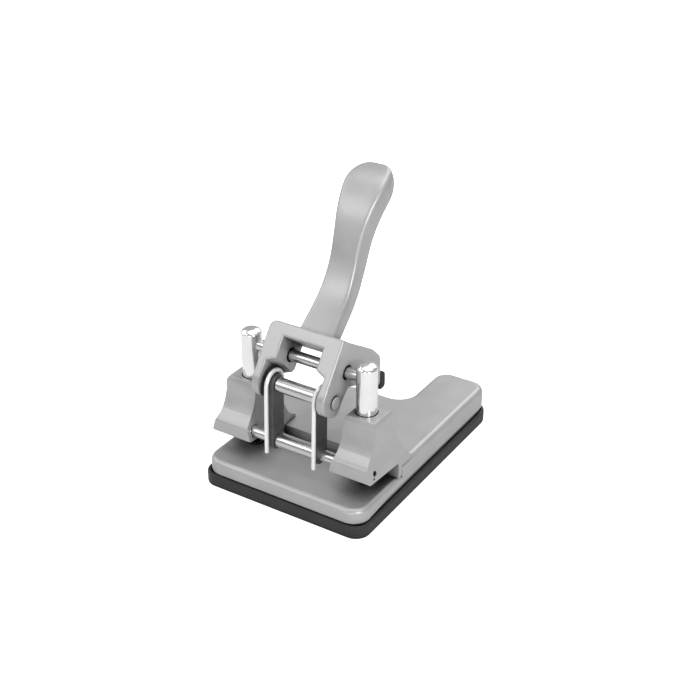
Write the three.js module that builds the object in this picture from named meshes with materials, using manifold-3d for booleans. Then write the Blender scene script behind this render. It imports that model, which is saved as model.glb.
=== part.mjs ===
// Heavy-duty two-hole lever punch.
// Millimetres, +Z up, +Y to the back. The origin is on the desk, midway between
// the two punches, in the plane that holds both punch axes.
import * as THREE from 'three';
import { mergeVertices } from 'three/addons/utils/BufferGeometryUtils.js';
import Module from 'manifold-3d';

const wasm = await Module();
wasm.setup();

// ---------------------------------------------------------------- driving sizes
const PUNCH_SPACING = 80; // between the two hole centres
const BASE_DEPTH = 158.6; // from the casting's front to the rear of its tail
const OVERALL_HEIGHT = 183.8; // from the desk to the top of the handle
const FIT_GAP = 0.3; // between pieces that touch or run in one another
const PRESS_GAP = 0.3; // round a piece that is pressed in
const ROUND_STEPS = 24; // facets round a shaft or its hole
const FAR = 200; // beyond every piece, for cuts that go right through

// chip tray
const TRAY_HEIGHT = 8.2;
const TRAY_WALL = 2.2;
const TRAY_FLOOR = 1.8;
const TRAY_MARGIN = 1.6; // the tray stands this far outside the casting
const TRAY_CORNER = 9.6; // the tray's front corners
const TRAY_EDGE = 0.8; // rounding of the tray's edges

// base casting
const BASE_HALF_WIDTH = 55.7;
const BASE_FRONT = 31.9; // in front of the punch line
const BASE_REAR = 79.5; // behind the punch line
const BASE_CUT = 37; // 45 degree cut of the rear left corner
const TAIL_WIDTH = 35;
const TAIL_REAR = BASE_DEPTH - BASE_FRONT;
const CORNER_FRONT = 11;
const CORNER_REAR = 10;
const CORNER_CUT = 12;
const CORNER_TAIL = 12;
const GROOVE = 0.9; // dark joint between the tray and the casting
const PLATE_TOP = 18; // paper plate
const PLATE_THICK = 5;
const PLATE_EDGE = 3.2; // rounding of the plate's top edge
const DECK_TOP = 25; // raised rear part
const DECK_THICK = 4.5;
const DECK_EDGE = 4;
const DECK_FRONT = 15.2; // the deck's front wall, behind the punch line
const RIM_WALL = 3.2; // wall of the rim that drops into the tray
const RIM_DEPTH = 3;
const RIB_THICK = 3;
const RIB_DROP = 1.4; // the ribs end this far below the casting's outer edge
const RIB_X = [-18, 18];
const RIB_Y = [34, 70];

// punch heads
const HEAD_TOP = 65.4;
const HEAD_OUTWARD = 12.2; // from the punch axis to the outer side
const HEAD_INWARD = 9; // from the punch axis to the inner side
const HEAD_FLARE_OUT = 3.4; // the lip stands this much wider at the outer side
const HEAD_FLARE_IN = 2.7;
const HEAD_FLARE_TOP = 44.5;
const HEAD_FLARE_BOTTOM = 34;
const HEAD_SHOULDER = 2.4; // height of the bevel round the top face
const HEAD_SHOULDER_IN = 1.2; // width of that bevel
const HEAD_LIP_FRONT = 21.7; // in front of the punch line
const HEAD_LIP_BOTTOM = 31.8;
const HEAD_LIP_TOP = 40.5;
const HEAD_WAIST_FRONT = 10.5;
const HEAD_WAIST_BOTTOM = 55.5;
const HEAD_ROOF_REAR = 29.2; // throat roof, just in front of the stop
const HEAD_REAR_TOP = 8.6;
const HEAD_REAR_MIDDLE = 11.8; // behind the punch line, halfway down
const HEAD_REAR_BOTTOM = 15.2;
const HEAD_FOOT_REAR = 26.5;
const HEAD_BOLT_SPREAD = 6.5; // from the punch axis to each of its two bolts
const HEAD_BOLT_REAR = 20;
const PAPER_STOP = 11; // from the hole centres to the edge of the sheet

// plungers, punches and dies
const PLUNGER_DIAMETER = 12.6;
const PLUNGER_TOP = 96.9;
const PLUNGER_BOTTOM = 61.5;
const PLUNGER_DOME = 3.1;
const PLUNGER_CHAMFER = 0.8;
const PUNCH_DIAMETER = 6;
const PUNCH_TIP = 26.2;
const PUNCH_SOCKET = 11; // the punch goes this far up into its plunger
const BUSH_DIAMETER = 11.5;
const BUSH_BOTTOM = 25.6;
const BUSH_TOP = 46;
const BORE_FLOOR = 47;
const DIE_DIAMETER = 11;
const DIE_HOLE_GAP = 0.35;
const CHIP_HOLE_DIAMETER = 8.4;
const DIE_BOSS_DIAMETER = 17;

// linkage
const TIE_ROD_Y = -15;
const TIE_ROD_Z = 36.5;
const TIE_ROD_DIAMETER = 7;
const TIE_ROD_END = 3.6; // metal left between the rod's end and the head's side
const KNOCK_OUT_DIAMETER = 3.4;
const SLEEVE_DIAMETER = 9;
const PIVOT_Y = -13.6;
const PIVOT_Z = 73.9;
const PIVOT_DIAMETER = 6;
const RIVET_HEAD_DIAMETER = 8.6;
const RIVET_HEAD_HEIGHT = 0.9;
const DRIVE_ROD_Z = 87;
const DRIVE_ROD_DIAMETER = 7;
const DRIVE_HOLE_GAP = 1.05; // the lever's holes are this much larger all round
const LINK_THICK = 3.4;
const LINK_HALF_DEPTH = 5.8;
const DRIVE_ROD_STOP = 2.4; // metal left in each plunger beyond the rod's end

// lever
const LEVER_CENTRE = 1.8; // the yoke sits this far right of the middle
const LEAN = 53.87; // the yoke's front face, degrees above the desk
const YOKE_HALF_WIDTH = 25;
const YOKE_HALF_GAP = 13.5;
const YOKE_FRONT = 12.2; // from the pivot to the yoke's front face
const YOKE_BACK = 12.6;
const YOKE_TOP = 34.8; // from the pivot up the lean
const CROSSBAR_HEIGHT = 7.8;
const CROSSBAR_REAR_HEIGHT = 9.3;
const CHEEK_END = 9.2; // from the pivot to the cheek's round end
const LINK_SIDE_GAP = 3; // between a link and the cheek outside it
const RECESS_FRONT = 14.3; // from the pivot up to the recess's roof, at the yoke's front
const RECESS_FALL_BACK = 0.216; // the roof falls by this much for each millimetre back
const RECESS_FALL_OUT = 0.45; // and by this much for each millimetre outwards
const HEEL_THICK = 8;
const HEEL_REAR = 37.6;
const HEEL_BOTTOM = 58.5;
const YOKE_EDGE = 1.2;

// handle
const PALM_WIDTH = 30.6;
const HANDLE_THICK = 15.8;
const HANDLE_RUN = 72; // from its start in the crossbar back to the palm's end
const HANDLE_SEAT = 7; // it starts this far below the yoke's top
const HANDLE_CROWN = 1.2; // the palm's end rises this far above its own centre line

// rubber buffer on the heel
const BUFFER_DEPTH = 6.2;
const BUFFER_HEIGHT = 11;
const BUFFER_BOTTOM = 55.8;
const BUFFER_CORNER = 2.4;
const BUFFER_STEM = 4;
const BUFFER_STEM_RISE = 7.4; // from the buffer's bottom up to its stem
const BUFFER_STEM_LENGTH = 7;

// return springs
const WIRE_DIAMETER = 2.5;
const SPRING_LEG = 43.4; // straight wire below the pivot
const SPRING_LOOP_GAP = 1.2; // between the wire's loop and the link's round end
const SPRING_OUTWARD = 1.3; // the wire lies this far outside the middle of its link
const SPRING_TAIL = 5;
const SPRING_ARC_STEPS = 12;
const SPRING_STEPS = 22; // along the whole wire

// fasteners
const HEAD_BOLT_DIAMETER = 5;
const HEAD_BOLT_CAP = 9;
const BOLT_BOSS_WALL = 2;
const HEAD_BOLT_LENGTH = 8; // from the deck's top up into the head
const FOOT_DIAMETER = 13;
const FOOT_INSET = 11; // from the casting's edges to the middle of a foot
const FOOT_POCKET = 1; // depth of the foot's seat in the tray

// ---------------------------------------------------------------- finishes
const finish = (color, metalness, roughness) => (
  new THREE.MeshStandardMaterial({ color, metalness, roughness }));
const CAST_GREY = finish(0xb9babb, 0.55, 0.42);
const TRAY_BLACK = finish(0x2b2c2e, 0.0, 0.55);
const CHROME = finish(0xe8eaec, 1.0, 0.12);
const BRIGHT_STEEL = finish(0xcfd2d4, 1.0, 0.25);
const DARK_STEEL = finish(0x55585b, 0.9, 0.45);
const BRONZE = finish(0xb08a4e, 1.0, 0.35);
const RUBBER = finish(0x1b1b1c, 0.0, 0.9);

// ---------------------------------------------------------------- solid helpers
/** Turn a closed geometry into a solid that can be cut and joined. */
function toSolid(geometry) {
  const bare = geometry.index ? geometry.toNonIndexed() : geometry.clone();
  bare.deleteAttribute('normal');
  bare.deleteAttribute('uv');
  const merged = mergeVertices(bare, 1e-4);
  return new wasm.Manifold(new wasm.Mesh({
    numProp: 3,
    vertProperties: new Float32Array(merged.attributes.position.array),
    triVerts: new Uint32Array(merged.index.array),
  }));
}

/** Turn a solid back into geometry. */
function toGeometry(solid) {
  const mesh = solid.getMesh();
  const geometry = new THREE.BufferGeometry();
  geometry.setAttribute('position', new THREE.BufferAttribute(new Float32Array(mesh.vertProperties), 3));
  geometry.setIndex(new THREE.BufferAttribute(new Uint32Array(mesh.triVerts), 1));
  geometry.computeVertexNormals();
  return geometry;
}

const join = (...solids) => solids.reduce((whole, next) => whole.add(next));
const cut = (solid, ...tools) => tools.reduce((whole, tool) => whole.subtract(tool), solid);

function namedMesh(name, solid, material) {
  const mesh = new THREE.Mesh(toGeometry(solid), material);
  mesh.name = name;
  return mesh;
}

/** A box from its lowest to its highest corner. */
function block(low, high) {
  const size = high.map((value, axis) => value - low[axis]);
  const geometry = new THREE.BoxGeometry(...size);
  geometry.translate(...low.map((value, axis) => value + size[axis] / 2));
  return toSolid(geometry);
}

/** A round rod along X. */
function rodAlongX(diameter, y, z, x0, x1, steps = ROUND_STEPS) {
  const geometry = new THREE.CylinderGeometry(diameter / 2, diameter / 2, x1 - x0, steps);
  geometry.rotateZ(-Math.PI / 2);
  geometry.translate((x0 + x1) / 2, y, z);
  return toSolid(geometry);
}

/** A round pin along Z. */
function pinAlongZ(diameter, x, y, z0, z1, steps = ROUND_STEPS) {
  const geometry = new THREE.CylinderGeometry(diameter / 2, diameter / 2, z1 - z0, steps);
  geometry.rotateX(Math.PI / 2);
  geometry.translate(x, y, (z0 + z1) / 2);
  return toSolid(geometry);
}

/** A closed outline from corners [a, b, radius], each corner rounded by an arc. */
function roundedShape(corners, arcSteps = 5) {
  const points = [];
  corners.forEach(([a, b, radius = 0], index) => {
    const here = new THREE.Vector2(a, b);
    if (radius <= 0) {
      points.push(here);
      return;
    }
    const [pa, pb] = corners[(index + corners.length - 1) % corners.length];
    const [na, nb] = corners[(index + 1) % corners.length];
    const toPrevious = new THREE.Vector2(pa, pb).sub(here);
    const toNext = new THREE.Vector2(na, nb).sub(here);
    const half = Math.acos(toPrevious.clone().normalize().dot(toNext.clone().normalize())) / 2;
    const room = 0.98 * Math.min(toPrevious.length(), toNext.length());
    const reach = Math.min(radius / Math.tan(half), room);
    const used = reach * Math.tan(half);
    toPrevious.normalize();
    toNext.normalize();
    const middle = toPrevious.clone().add(toNext).normalize();
    const centre = here.clone().addScaledVector(middle, used / Math.sin(half));
    const start = here.clone().addScaledVector(toPrevious, reach).sub(centre);
    const end = here.clone().addScaledVector(toNext, reach).sub(centre);
    let turn = end.angle() - start.angle();
    turn -= 2 * Math.PI * Math.round(turn / (2 * Math.PI));
    for (let step = 0; step <= arcSteps; step += 1) {
      const spoke = start.clone().rotateAround(new THREE.Vector2(), (turn * step) / arcSteps);
      points.push(centre.clone().add(spoke));
    }
  });
  return new THREE.Shape(points);
}

/** Extrude an outline in (X, Y) up from z0 to z1, with its edges rounded by edge. */
function extrudeUp(shape, z0, z1, edge = 0) {
  const geometry = new THREE.ExtrudeGeometry(shape, {
    depth: z1 - z0 - 2 * edge,
    curveSegments: 6,
    bevelEnabled: edge > 0,
    bevelThickness: edge,
    bevelSize: edge,
    bevelOffset: -edge,
    bevelSegments: 3,
  });
  geometry.translate(0, 0, z0 + edge);
  return toSolid(geometry);
}

/** Extrude an outline in (Y, Z) along X from x0 to x1, with its edges bevelled. */
function extrudeAlongX(shape, x0, x1, edge = 0) {
  const geometry = new THREE.ExtrudeGeometry(shape, {
    depth: x1 - x0 - 2 * edge,
    curveSegments: 6,
    bevelEnabled: edge > 0,
    bevelThickness: edge,
    bevelSize: edge,
    bevelOffset: -edge,
    bevelSegments: 2,
  });
  const basis = new THREE.Matrix4().makeBasis(
    new THREE.Vector3(0, 1, 0),
    new THREE.Vector3(0, 0, 1),
    new THREE.Vector3(1, 0, 0),
  );
  geometry.applyMatrix4(basis);
  geometry.translate(x0 + edge, 0, 0);
  return toSolid(geometry);
}

/** Extrude an outline in (X, Z) along Y from y0 to y1. */
function extrudeAlongY(shape, y0, y1) {
  const geometry = new THREE.ExtrudeGeometry(shape, { depth: y1 - y0, bevelEnabled: false });
  geometry.rotateX(Math.PI / 2);
  geometry.translate(0, y1, 0);
  return toSolid(geometry);
}

/** A turned piece about a vertical axis, from its [radius, z] profile. */
function turned(profile, x, y, steps = ROUND_STEPS) {
  const geometry = new THREE.LatheGeometry(profile.map(([r, z]) => new THREE.Vector2(r, z)), steps);
  geometry.rotateX(Math.PI / 2);
  geometry.translate(x, y, 0);
  return toSolid(geometry);
}

/** A closed skin over rings that hold equal numbers of points. */
function loft(rings) {
  const count = rings[0].length;
  const vertices = rings.flat().flatMap((point) => [point.x, point.y, point.z]);
  const middleOf = (ring) => ring.reduce((sum, p) => sum.add(p), new THREE.Vector3()).divideScalar(count);
  const ends = [middleOf(rings[0]), middleOf(rings[rings.length - 1])];
  ends.forEach((point) => vertices.push(point.x, point.y, point.z));
  const firstCap = rings.length * count;
  const faces = [];
  for (let ring = 0; ring < rings.length - 1; ring += 1) {
    for (let k = 0; k < count; k += 1) {
      const a = ring * count + k;
      const b = ring * count + ((k + 1) % count);
      faces.push(a, b, b + count, a, b + count, a + count);
    }
  }
  const last = (rings.length - 1) * count;
  for (let k = 0; k < count; k += 1) {
    const next = (k + 1) % count;
    faces.push(firstCap, next, k);
    faces.push(firstCap + 1, last + k, last + next);
  }
  const geometry = new THREE.BufferGeometry();
  geometry.setAttribute('position', new THREE.Float32BufferAttribute(vertices, 3));
  geometry.setIndex(faces);
  return toSolid(geometry);
}

const degrees = THREE.MathUtils.degToRad;
const SIDES = [{ name: 'left', sign: -1 }, { name: 'right', sign: 1 }];
const punchX = (side) => (side.sign * PUNCH_SPACING) / 2;

// ---------------------------------------------------------------- plan of the base
/** The base's outline seen from above, moved inwards by inset. */
function basePlan(inset, frontCorner = CORNER_FRONT - inset) {
  const right = BASE_HALF_WIDTH - inset;
  const rear = BASE_REAR - inset;
  const tailLeft = BASE_HALF_WIDTH - TAIL_WIDTH + inset;
  const slant = inset * (2 - Math.SQRT2);
  return roundedShape([
    [-right, -BASE_FRONT + inset, frontCorner],
    [right, -BASE_FRONT + inset, frontCorner],
    [right, TAIL_REAR - inset, CORNER_REAR - inset],
    [tailLeft, TAIL_REAR - inset, CORNER_REAR - inset],
    [tailLeft, rear, CORNER_TAIL + inset],
    [-right + BASE_CUT - slant, rear, CORNER_CUT - inset],
    [-right, rear - BASE_CUT + slant, CORNER_CUT - inset],
  ], 5);
}

const RIM_INSET = TRAY_WALL - TRAY_MARGIN + FIT_GAP;
const CASTING_BOTTOM = TRAY_HEIGHT + GROOVE;
const FEET = [
  [-BASE_HALF_WIDTH + FOOT_INSET, -BASE_FRONT + FOOT_INSET],
  [BASE_HALF_WIDTH - FOOT_INSET, -BASE_FRONT + FOOT_INSET],
  [-16, BASE_REAR - 12],
  [BASE_HALF_WIDTH - TAIL_WIDTH / 2, TAIL_REAR - 12],
];
const HEAD_BOLTS = SIDES.flatMap((side) => [-HEAD_BOLT_SPREAD, HEAD_BOLT_SPREAD].map((offset) => (
  [punchX(side) + offset, HEAD_BOLT_REAR])));

// ---------------------------------------------------------------- chip tray and feet
function chipTray() {
  const outer = extrudeUp(basePlan(-TRAY_MARGIN, TRAY_CORNER), 0, TRAY_HEIGHT, TRAY_EDGE);
  const hollow = extrudeUp(basePlan(TRAY_WALL - TRAY_MARGIN), TRAY_FLOOR, TRAY_HEIGHT + 1);
  const pockets = FEET.map(([x, y]) => pinAlongZ(FOOT_DIAMETER + 2 * FIT_GAP, x, y, -1, FOOT_POCKET, 20));
  return cut(outer, hollow, ...pockets);
}

function rubberFoot([x, y]) {
  return pinAlongZ(FOOT_DIAMETER, x, y, 0, FOOT_POCKET - FIT_GAP, 20);
}

// ---------------------------------------------------------------- base casting
function castingShell() {
  const plate = extrudeUp(basePlan(0), CASTING_BOTTOM - PLATE_EDGE, PLATE_TOP, PLATE_EDGE);
  const deckReach = block([-FAR, DECK_FRONT, 0], [FAR, FAR, FAR]);
  const deck = extrudeUp(basePlan(0), CASTING_BOTTOM - DECK_EDGE, DECK_TOP, DECK_EDGE).intersect(deckReach);
  const above = block([-FAR, -FAR, CASTING_BOTTOM], [FAR, FAR, FAR]);
  const rim = extrudeUp(basePlan(RIM_INSET), CASTING_BOTTOM - RIM_DEPTH, CASTING_BOTTOM + 1);
  return join(join(plate, deck).intersect(above), rim);
}

function castingHollow() {
  const plan = basePlan(RIM_INSET + RIM_WALL);
  const bottom = CASTING_BOTTOM - RIM_DEPTH - 1;
  const underPlate = extrudeUp(plan, bottom, PLATE_TOP - PLATE_THICK);
  const behindWall = block([-FAR, DECK_FRONT + DECK_THICK, 0], [FAR, FAR, FAR]);
  const underDeck = extrudeUp(plan, bottom, DECK_TOP - DECK_THICK).intersect(behindWall);
  return join(underPlate, underDeck);
}

function castingRibs(hollow) {
  const bottom = CASTING_BOTTOM - RIB_DROP;
  const half = RIB_THICK / 2;
  const lengthwise = RIB_X.map((x) => block([x - half, -FAR, bottom], [x + half, FAR, FAR]));
  const across = RIB_Y.map((y) => block([-FAR, y - half, bottom], [FAR, y + half, FAR]));
  const dieBosses = SIDES.map((side) => pinAlongZ(DIE_BOSS_DIAMETER, punchX(side), 0, bottom, FAR));
  const boltBosses = HEAD_BOLTS.map(([x, y]) => (
    pinAlongZ(HEAD_BOLT_CAP + 2 * BOLT_BOSS_WALL, x, y, PLATE_TOP - PLATE_THICK, FAR, 18)));
  const inside = hollow.intersect(block([-FAR, -FAR, bottom], [FAR, FAR, FAR]));
  return join(...lengthwise, ...across, ...dieBosses, ...boltBosses).intersect(inside);
}

function baseCasting() {
  const hollow = castingHollow();
  const ribbed = join(cut(castingShell(), hollow), castingRibs(hollow));
  const dieSeats = SIDES.map((side) => join(
    pinAlongZ(DIE_DIAMETER + 2 * PRESS_GAP, punchX(side), 0, PLATE_TOP - PLATE_THICK, PLATE_TOP + 1),
    pinAlongZ(CHIP_HOLE_DIAMETER, punchX(side), 0, 0, PLATE_TOP),
  ));
  const boltHoles = HEAD_BOLTS.map(([x, y]) => join(
    pinAlongZ(HEAD_BOLT_DIAMETER + 2 * FIT_GAP, x, y, 0, DECK_TOP + 1, 18),
    pinAlongZ(HEAD_BOLT_CAP + 2 * FIT_GAP, x, y, 0, DECK_TOP - DECK_THICK - 1, 18),
  ));
  return cut(ribbed, ...dieSeats, ...boltHoles);
}

function die(side) {
  const body = pinAlongZ(DIE_DIAMETER, punchX(side), 0, PLATE_TOP - PLATE_THICK + FIT_GAP, PLATE_TOP);
  const hole = pinAlongZ(PUNCH_DIAMETER + 2 * DIE_HOLE_GAP, punchX(side), 0, 0, PLATE_TOP + 1);
  return cut(body, hole);
}

// ---------------------------------------------------------------- punch heads
/** The head seen from the side, in (Y, Z). */
function headProfile() {
  const footBottom = DECK_TOP + FIT_GAP;
  const toe = PLATE_TOP + FIT_GAP;
  const toeRear = DECK_FRONT - FIT_GAP;
  const shoulder = HEAD_TOP - HEAD_SHOULDER;
  return roundedShape([
    [-HEAD_LIP_FRONT, HEAD_LIP_BOTTOM, 1.2],
    [PAPER_STOP, HEAD_ROOF_REAR, 2],
    [PAPER_STOP, toe],
    [toeRear, toe],
    [toeRear, footBottom],
    [HEAD_FOOT_REAR, footBottom],
    [HEAD_FOOT_REAR, footBottom + 1.5],
    [HEAD_REAR_BOTTOM + 3, 32, 8],
    [HEAD_REAR_BOTTOM, HEAD_FLARE_TOP, 12],
    [HEAD_REAR_MIDDLE, HEAD_WAIST_BOTTOM, 14],
    [HEAD_REAR_TOP, shoulder, 1],
    [HEAD_REAR_TOP - HEAD_SHOULDER_IN, HEAD_TOP, 0.6],
    [-HEAD_WAIST_FRONT + HEAD_SHOULDER_IN, HEAD_TOP, 0.6],
    [-HEAD_WAIST_FRONT, shoulder, 1.5],
    [-HEAD_WAIST_FRONT, HEAD_WAIST_BOTTOM, 14],
    [-HEAD_LIP_FRONT, HEAD_LIP_TOP, 8],
  ], 4);
}

/** A head seen from the front, in (X, Z). */
function headFront(side) {
  const s = side.sign;
  const outer = HEAD_OUTWARD;
  const inner = -HEAD_INWARD;
  const shoulder = HEAD_TOP - HEAD_SHOULDER;
  const corners = [
    [inner - HEAD_FLARE_IN, 0],
    [outer + HEAD_FLARE_OUT, 0],
    [outer + HEAD_FLARE_OUT, HEAD_FLARE_BOTTOM, 4],
    [outer, HEAD_FLARE_TOP, 16],
    [outer, shoulder, 1],
    [outer - HEAD_SHOULDER_IN, HEAD_TOP, 0.6],
    [inner + HEAD_SHOULDER_IN, HEAD_TOP, 0.6],
    [inner, shoulder, 1],
    [inner, HEAD_FLARE_TOP, 16],
    [inner - HEAD_FLARE_IN, HEAD_FLARE_BOTTOM, 4],
  ].map(([across, up, radius]) => [punchX(side) + s * across, up, radius]);
  return roundedShape(s > 0 ? corners : corners.reverse(), 4);
}

const TIE_ROD_REACH = PUNCH_SPACING / 2 + HEAD_OUTWARD + HEAD_FLARE_OUT - TIE_ROD_END - FIT_GAP;

function punchHead(side) {
  const x = punchX(side);
  const s = side.sign;
  const span = [x - 30, x + 30];
  const body = extrudeAlongX(headProfile(), ...span).intersect(extrudeAlongY(headFront(side), -60, 60));
  const bore = pinAlongZ(PLUNGER_DIAMETER + 2 * FIT_GAP, x, 0, BORE_FLOOR, FAR);
  const bushSeat = pinAlongZ(BUSH_DIAMETER + 2 * PRESS_GAP, x, 0, 0, BORE_FLOOR + 1);
  const rodEnds = [0, s * (TIE_ROD_REACH + FIT_GAP)].sort((a, b) => a - b);
  const rodSeat = rodAlongX(TIE_ROD_DIAMETER + 2 * PRESS_GAP, TIE_ROD_Y, TIE_ROD_Z, ...rodEnds);
  const outward = [x, x + s * 30].sort((a, b) => a - b);
  const knockOut = rodAlongX(KNOCK_OUT_DIAMETER, TIE_ROD_Y, TIE_ROD_Z, ...outward, 16);
  const boltHoles = HEAD_BOLTS.filter(([bx]) => Math.sign(bx) === s).map(([bx, by]) => (
    pinAlongZ(HEAD_BOLT_DIAMETER + 2 * FIT_GAP, bx, by, 0, DECK_TOP + HEAD_BOLT_LENGTH + 1, 18)
  ));
  return cut(body, bore, bushSeat, rodSeat, knockOut, ...boltHoles);
}

function headBolt([x, y]) {
  const capBottom = DECK_TOP - DECK_THICK - 4.5;
  const cap = pinAlongZ(HEAD_BOLT_CAP, x, y, capBottom, DECK_TOP - DECK_THICK - 1 - FIT_GAP, 6);
  return join(cap, pinAlongZ(HEAD_BOLT_DIAMETER, x, y, capBottom, DECK_TOP + HEAD_BOLT_LENGTH, 18));
}

function guideBush(side) {
  const body = pinAlongZ(BUSH_DIAMETER, punchX(side), 0, BUSH_BOTTOM, BUSH_TOP);
  const hole = pinAlongZ(PUNCH_DIAMETER + 2 * FIT_GAP, punchX(side), 0, 0, FAR);
  return cut(body, hole);
}

// ---------------------------------------------------------------- plungers and punches
const DRIVE_ROD_REACH = (PUNCH_SPACING + PLUNGER_DIAMETER) / 2 - DRIVE_ROD_STOP;

function plunger(side) {
  const x = punchX(side);
  const radius = PLUNGER_DIAMETER / 2;
  const profile = [
    [0, PLUNGER_BOTTOM],
    [radius - PLUNGER_CHAMFER, PLUNGER_BOTTOM],
    [radius, PLUNGER_BOTTOM + PLUNGER_CHAMFER],
  ];
  const shoulder = PLUNGER_TOP - PLUNGER_DOME;
  for (let step = 0; step < 6; step += 1) {
    const angle = (Math.PI / 2) * (step / 6);
    profile.push([radius * Math.cos(angle), shoulder + PLUNGER_DOME * Math.sin(angle)]);
  }
  profile.push([0, PLUNGER_TOP]);
  const body = turned(profile, x, 0, 32);
  const rodEnds = [0, side.sign * (DRIVE_ROD_REACH + FIT_GAP)].sort((a, b) => a - b);
  const rodHole = rodAlongX(DRIVE_ROD_DIAMETER + 2 * PRESS_GAP, 0, DRIVE_ROD_Z, ...rodEnds);
  const socket = pinAlongZ(
    PUNCH_DIAMETER + 2 * PRESS_GAP, x, 0, PLUNGER_BOTTOM - 1, PLUNGER_BOTTOM + PUNCH_SOCKET + FIT_GAP);
  return cut(body, rodHole, socket);
}

function punchPin(side) {
  const body = pinAlongZ(PUNCH_DIAMETER, punchX(side), 0, PUNCH_TIP, PLUNGER_BOTTOM + PUNCH_SOCKET);
  const notch = rodAlongX(PUNCH_DIAMETER * 1.1, 0, PUNCH_TIP - 1.6, punchX(side) - 5, punchX(side) + 5);
  return cut(body, notch);
}

function driveRod() {
  return rodAlongX(DRIVE_ROD_DIAMETER, 0, DRIVE_ROD_Z, -DRIVE_ROD_REACH, DRIVE_ROD_REACH);
}

// ---------------------------------------------------------------- links, tie rod and pivot
const linkInner = YOKE_HALF_GAP;
const linkMiddle = linkInner + LINK_THICK / 2;
const leverX = (side, offset) => LEVER_CENTRE + side.sign * offset;
const leverSpan = (side, a, b) => [leverX(side, a), leverX(side, b)].sort((p, q) => p - q);

/** A flat bar with round ends on the tie rod and on the pivot pin. */
function link(side) {
  const along = new THREE.Vector2(PIVOT_Y - TIE_ROD_Y, PIVOT_Z - TIE_ROD_Z);
  const turn = along.angle();
  const outline = new THREE.Shape();
  outline.absarc(PIVOT_Y, PIVOT_Z, LINK_HALF_DEPTH, turn - Math.PI / 2, turn + Math.PI / 2);
  outline.absarc(TIE_ROD_Y, TIE_ROD_Z, LINK_HALF_DEPTH, turn + Math.PI / 2, turn + (3 * Math.PI) / 2);
  const bar = extrudeAlongX(outline, ...leverSpan(side, linkInner, linkInner + LINK_THICK));
  const lower = rodAlongX(TIE_ROD_DIAMETER + 2 * FIT_GAP, TIE_ROD_Y, TIE_ROD_Z, -FAR, FAR);
  const upper = rodAlongX(PIVOT_DIAMETER + 2 * FIT_GAP, PIVOT_Y, PIVOT_Z, -FAR, FAR);
  return cut(bar, lower, upper);
}

function tieRod() {
  return rodAlongX(TIE_ROD_DIAMETER, TIE_ROD_Y, TIE_ROD_Z, -TIE_ROD_REACH, TIE_ROD_REACH);
}

/** A tube that keeps the two links apart on a rod. */
function spacerSleeve(diameter, boreDiameter, y, z) {
  const half = linkInner - FIT_GAP;
  const tube = rodAlongX(diameter, y, z, LEVER_CENTRE - half, LEVER_CENTRE + half);
  return cut(tube, rodAlongX(boreDiameter, y, z, -FAR, FAR));
}

function pivotPin() {
  const face = YOKE_HALF_WIDTH + FIT_GAP;
  const end = face + RIVET_HEAD_HEIGHT + FIT_GAP;
  const shaft = rodAlongX(PIVOT_DIAMETER, PIVOT_Y, PIVOT_Z, LEVER_CENTRE - end, LEVER_CENTRE + end);
  const heads = SIDES.map((side) => (
    rodAlongX(RIVET_HEAD_DIAMETER, PIVOT_Y, PIVOT_Z, ...leverSpan(side, face, face + RIVET_HEAD_HEIGHT), 20)
  ));
  return join(shaft, ...heads);
}

// ---------------------------------------------------------------- lever
/** A place in the yoke: up the lean from the pivot, and back from the front plane's normal. */
function onYoke(up, back) {
  const lean = degrees(LEAN);
  return [
    PIVOT_Y + up * Math.cos(lean) + back * Math.sin(lean),
    PIVOT_Z + up * Math.sin(lean) - back * Math.cos(lean),
  ];
}

/** The yoke and its heel from the side. */
function yokeOutline() {
  return roundedShape([
    [...onYoke(-CHEEK_END, -YOKE_FRONT), 10.5],
    [...onYoke(-CHEEK_END, CHEEK_END), 9],
    [...onYoke(2, CHEEK_END), 4],
    [...onYoke(10.6, YOKE_BACK - 1.5), 3],
    [HEEL_REAR - 23.6, HEEL_BOTTOM + 13, 12],
    [HEEL_REAR, HEEL_BOTTOM, 3],
    [HEEL_REAR, HEEL_BOTTOM + 21.5, 5],
    [HEEL_REAR - 8.2, HEEL_BOTTOM + 29.5, 8],
    [...onYoke(YOKE_TOP, 1), 12],
    [...onYoke(YOKE_TOP, -YOKE_FRONT), 3],
  ], 5);
}

/** What is cut away behind the yoke, to leave the heel on one side. */
function behindYoke() {
  const outline = [
    onYoke(5, YOKE_BACK),
    onYoke(5, FAR),
    onYoke(FAR, FAR),
    onYoke(FAR, YOKE_BACK),
  ];
  const left = LEVER_CENTRE - YOKE_HALF_WIDTH - 10;
  return extrudeAlongX(roundedShape(outline), left, LEVER_CENTRE + YOKE_HALF_WIDTH - HEEL_THICK);
}

/** The window between the cheeks, below the crossbar. */
function yokeWindow() {
  const outline = roundedShape([
    onYoke(-FAR, -FAR),
    onYoke(-FAR, FAR),
    onYoke(YOKE_TOP - CROSSBAR_REAR_HEIGHT, FAR),
    onYoke(YOKE_TOP - CROSSBAR_REAR_HEIGHT, YOKE_BACK),
    onYoke(YOKE_TOP - CROSSBAR_HEIGHT, -YOKE_FRONT),
    onYoke(YOKE_TOP - CROSSBAR_HEIGHT, -FAR),
  ]);
  return extrudeAlongX(outline, LEVER_CENTRE - YOKE_HALF_GAP, LEVER_CENTRE + YOKE_HALF_GAP);
}

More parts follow.
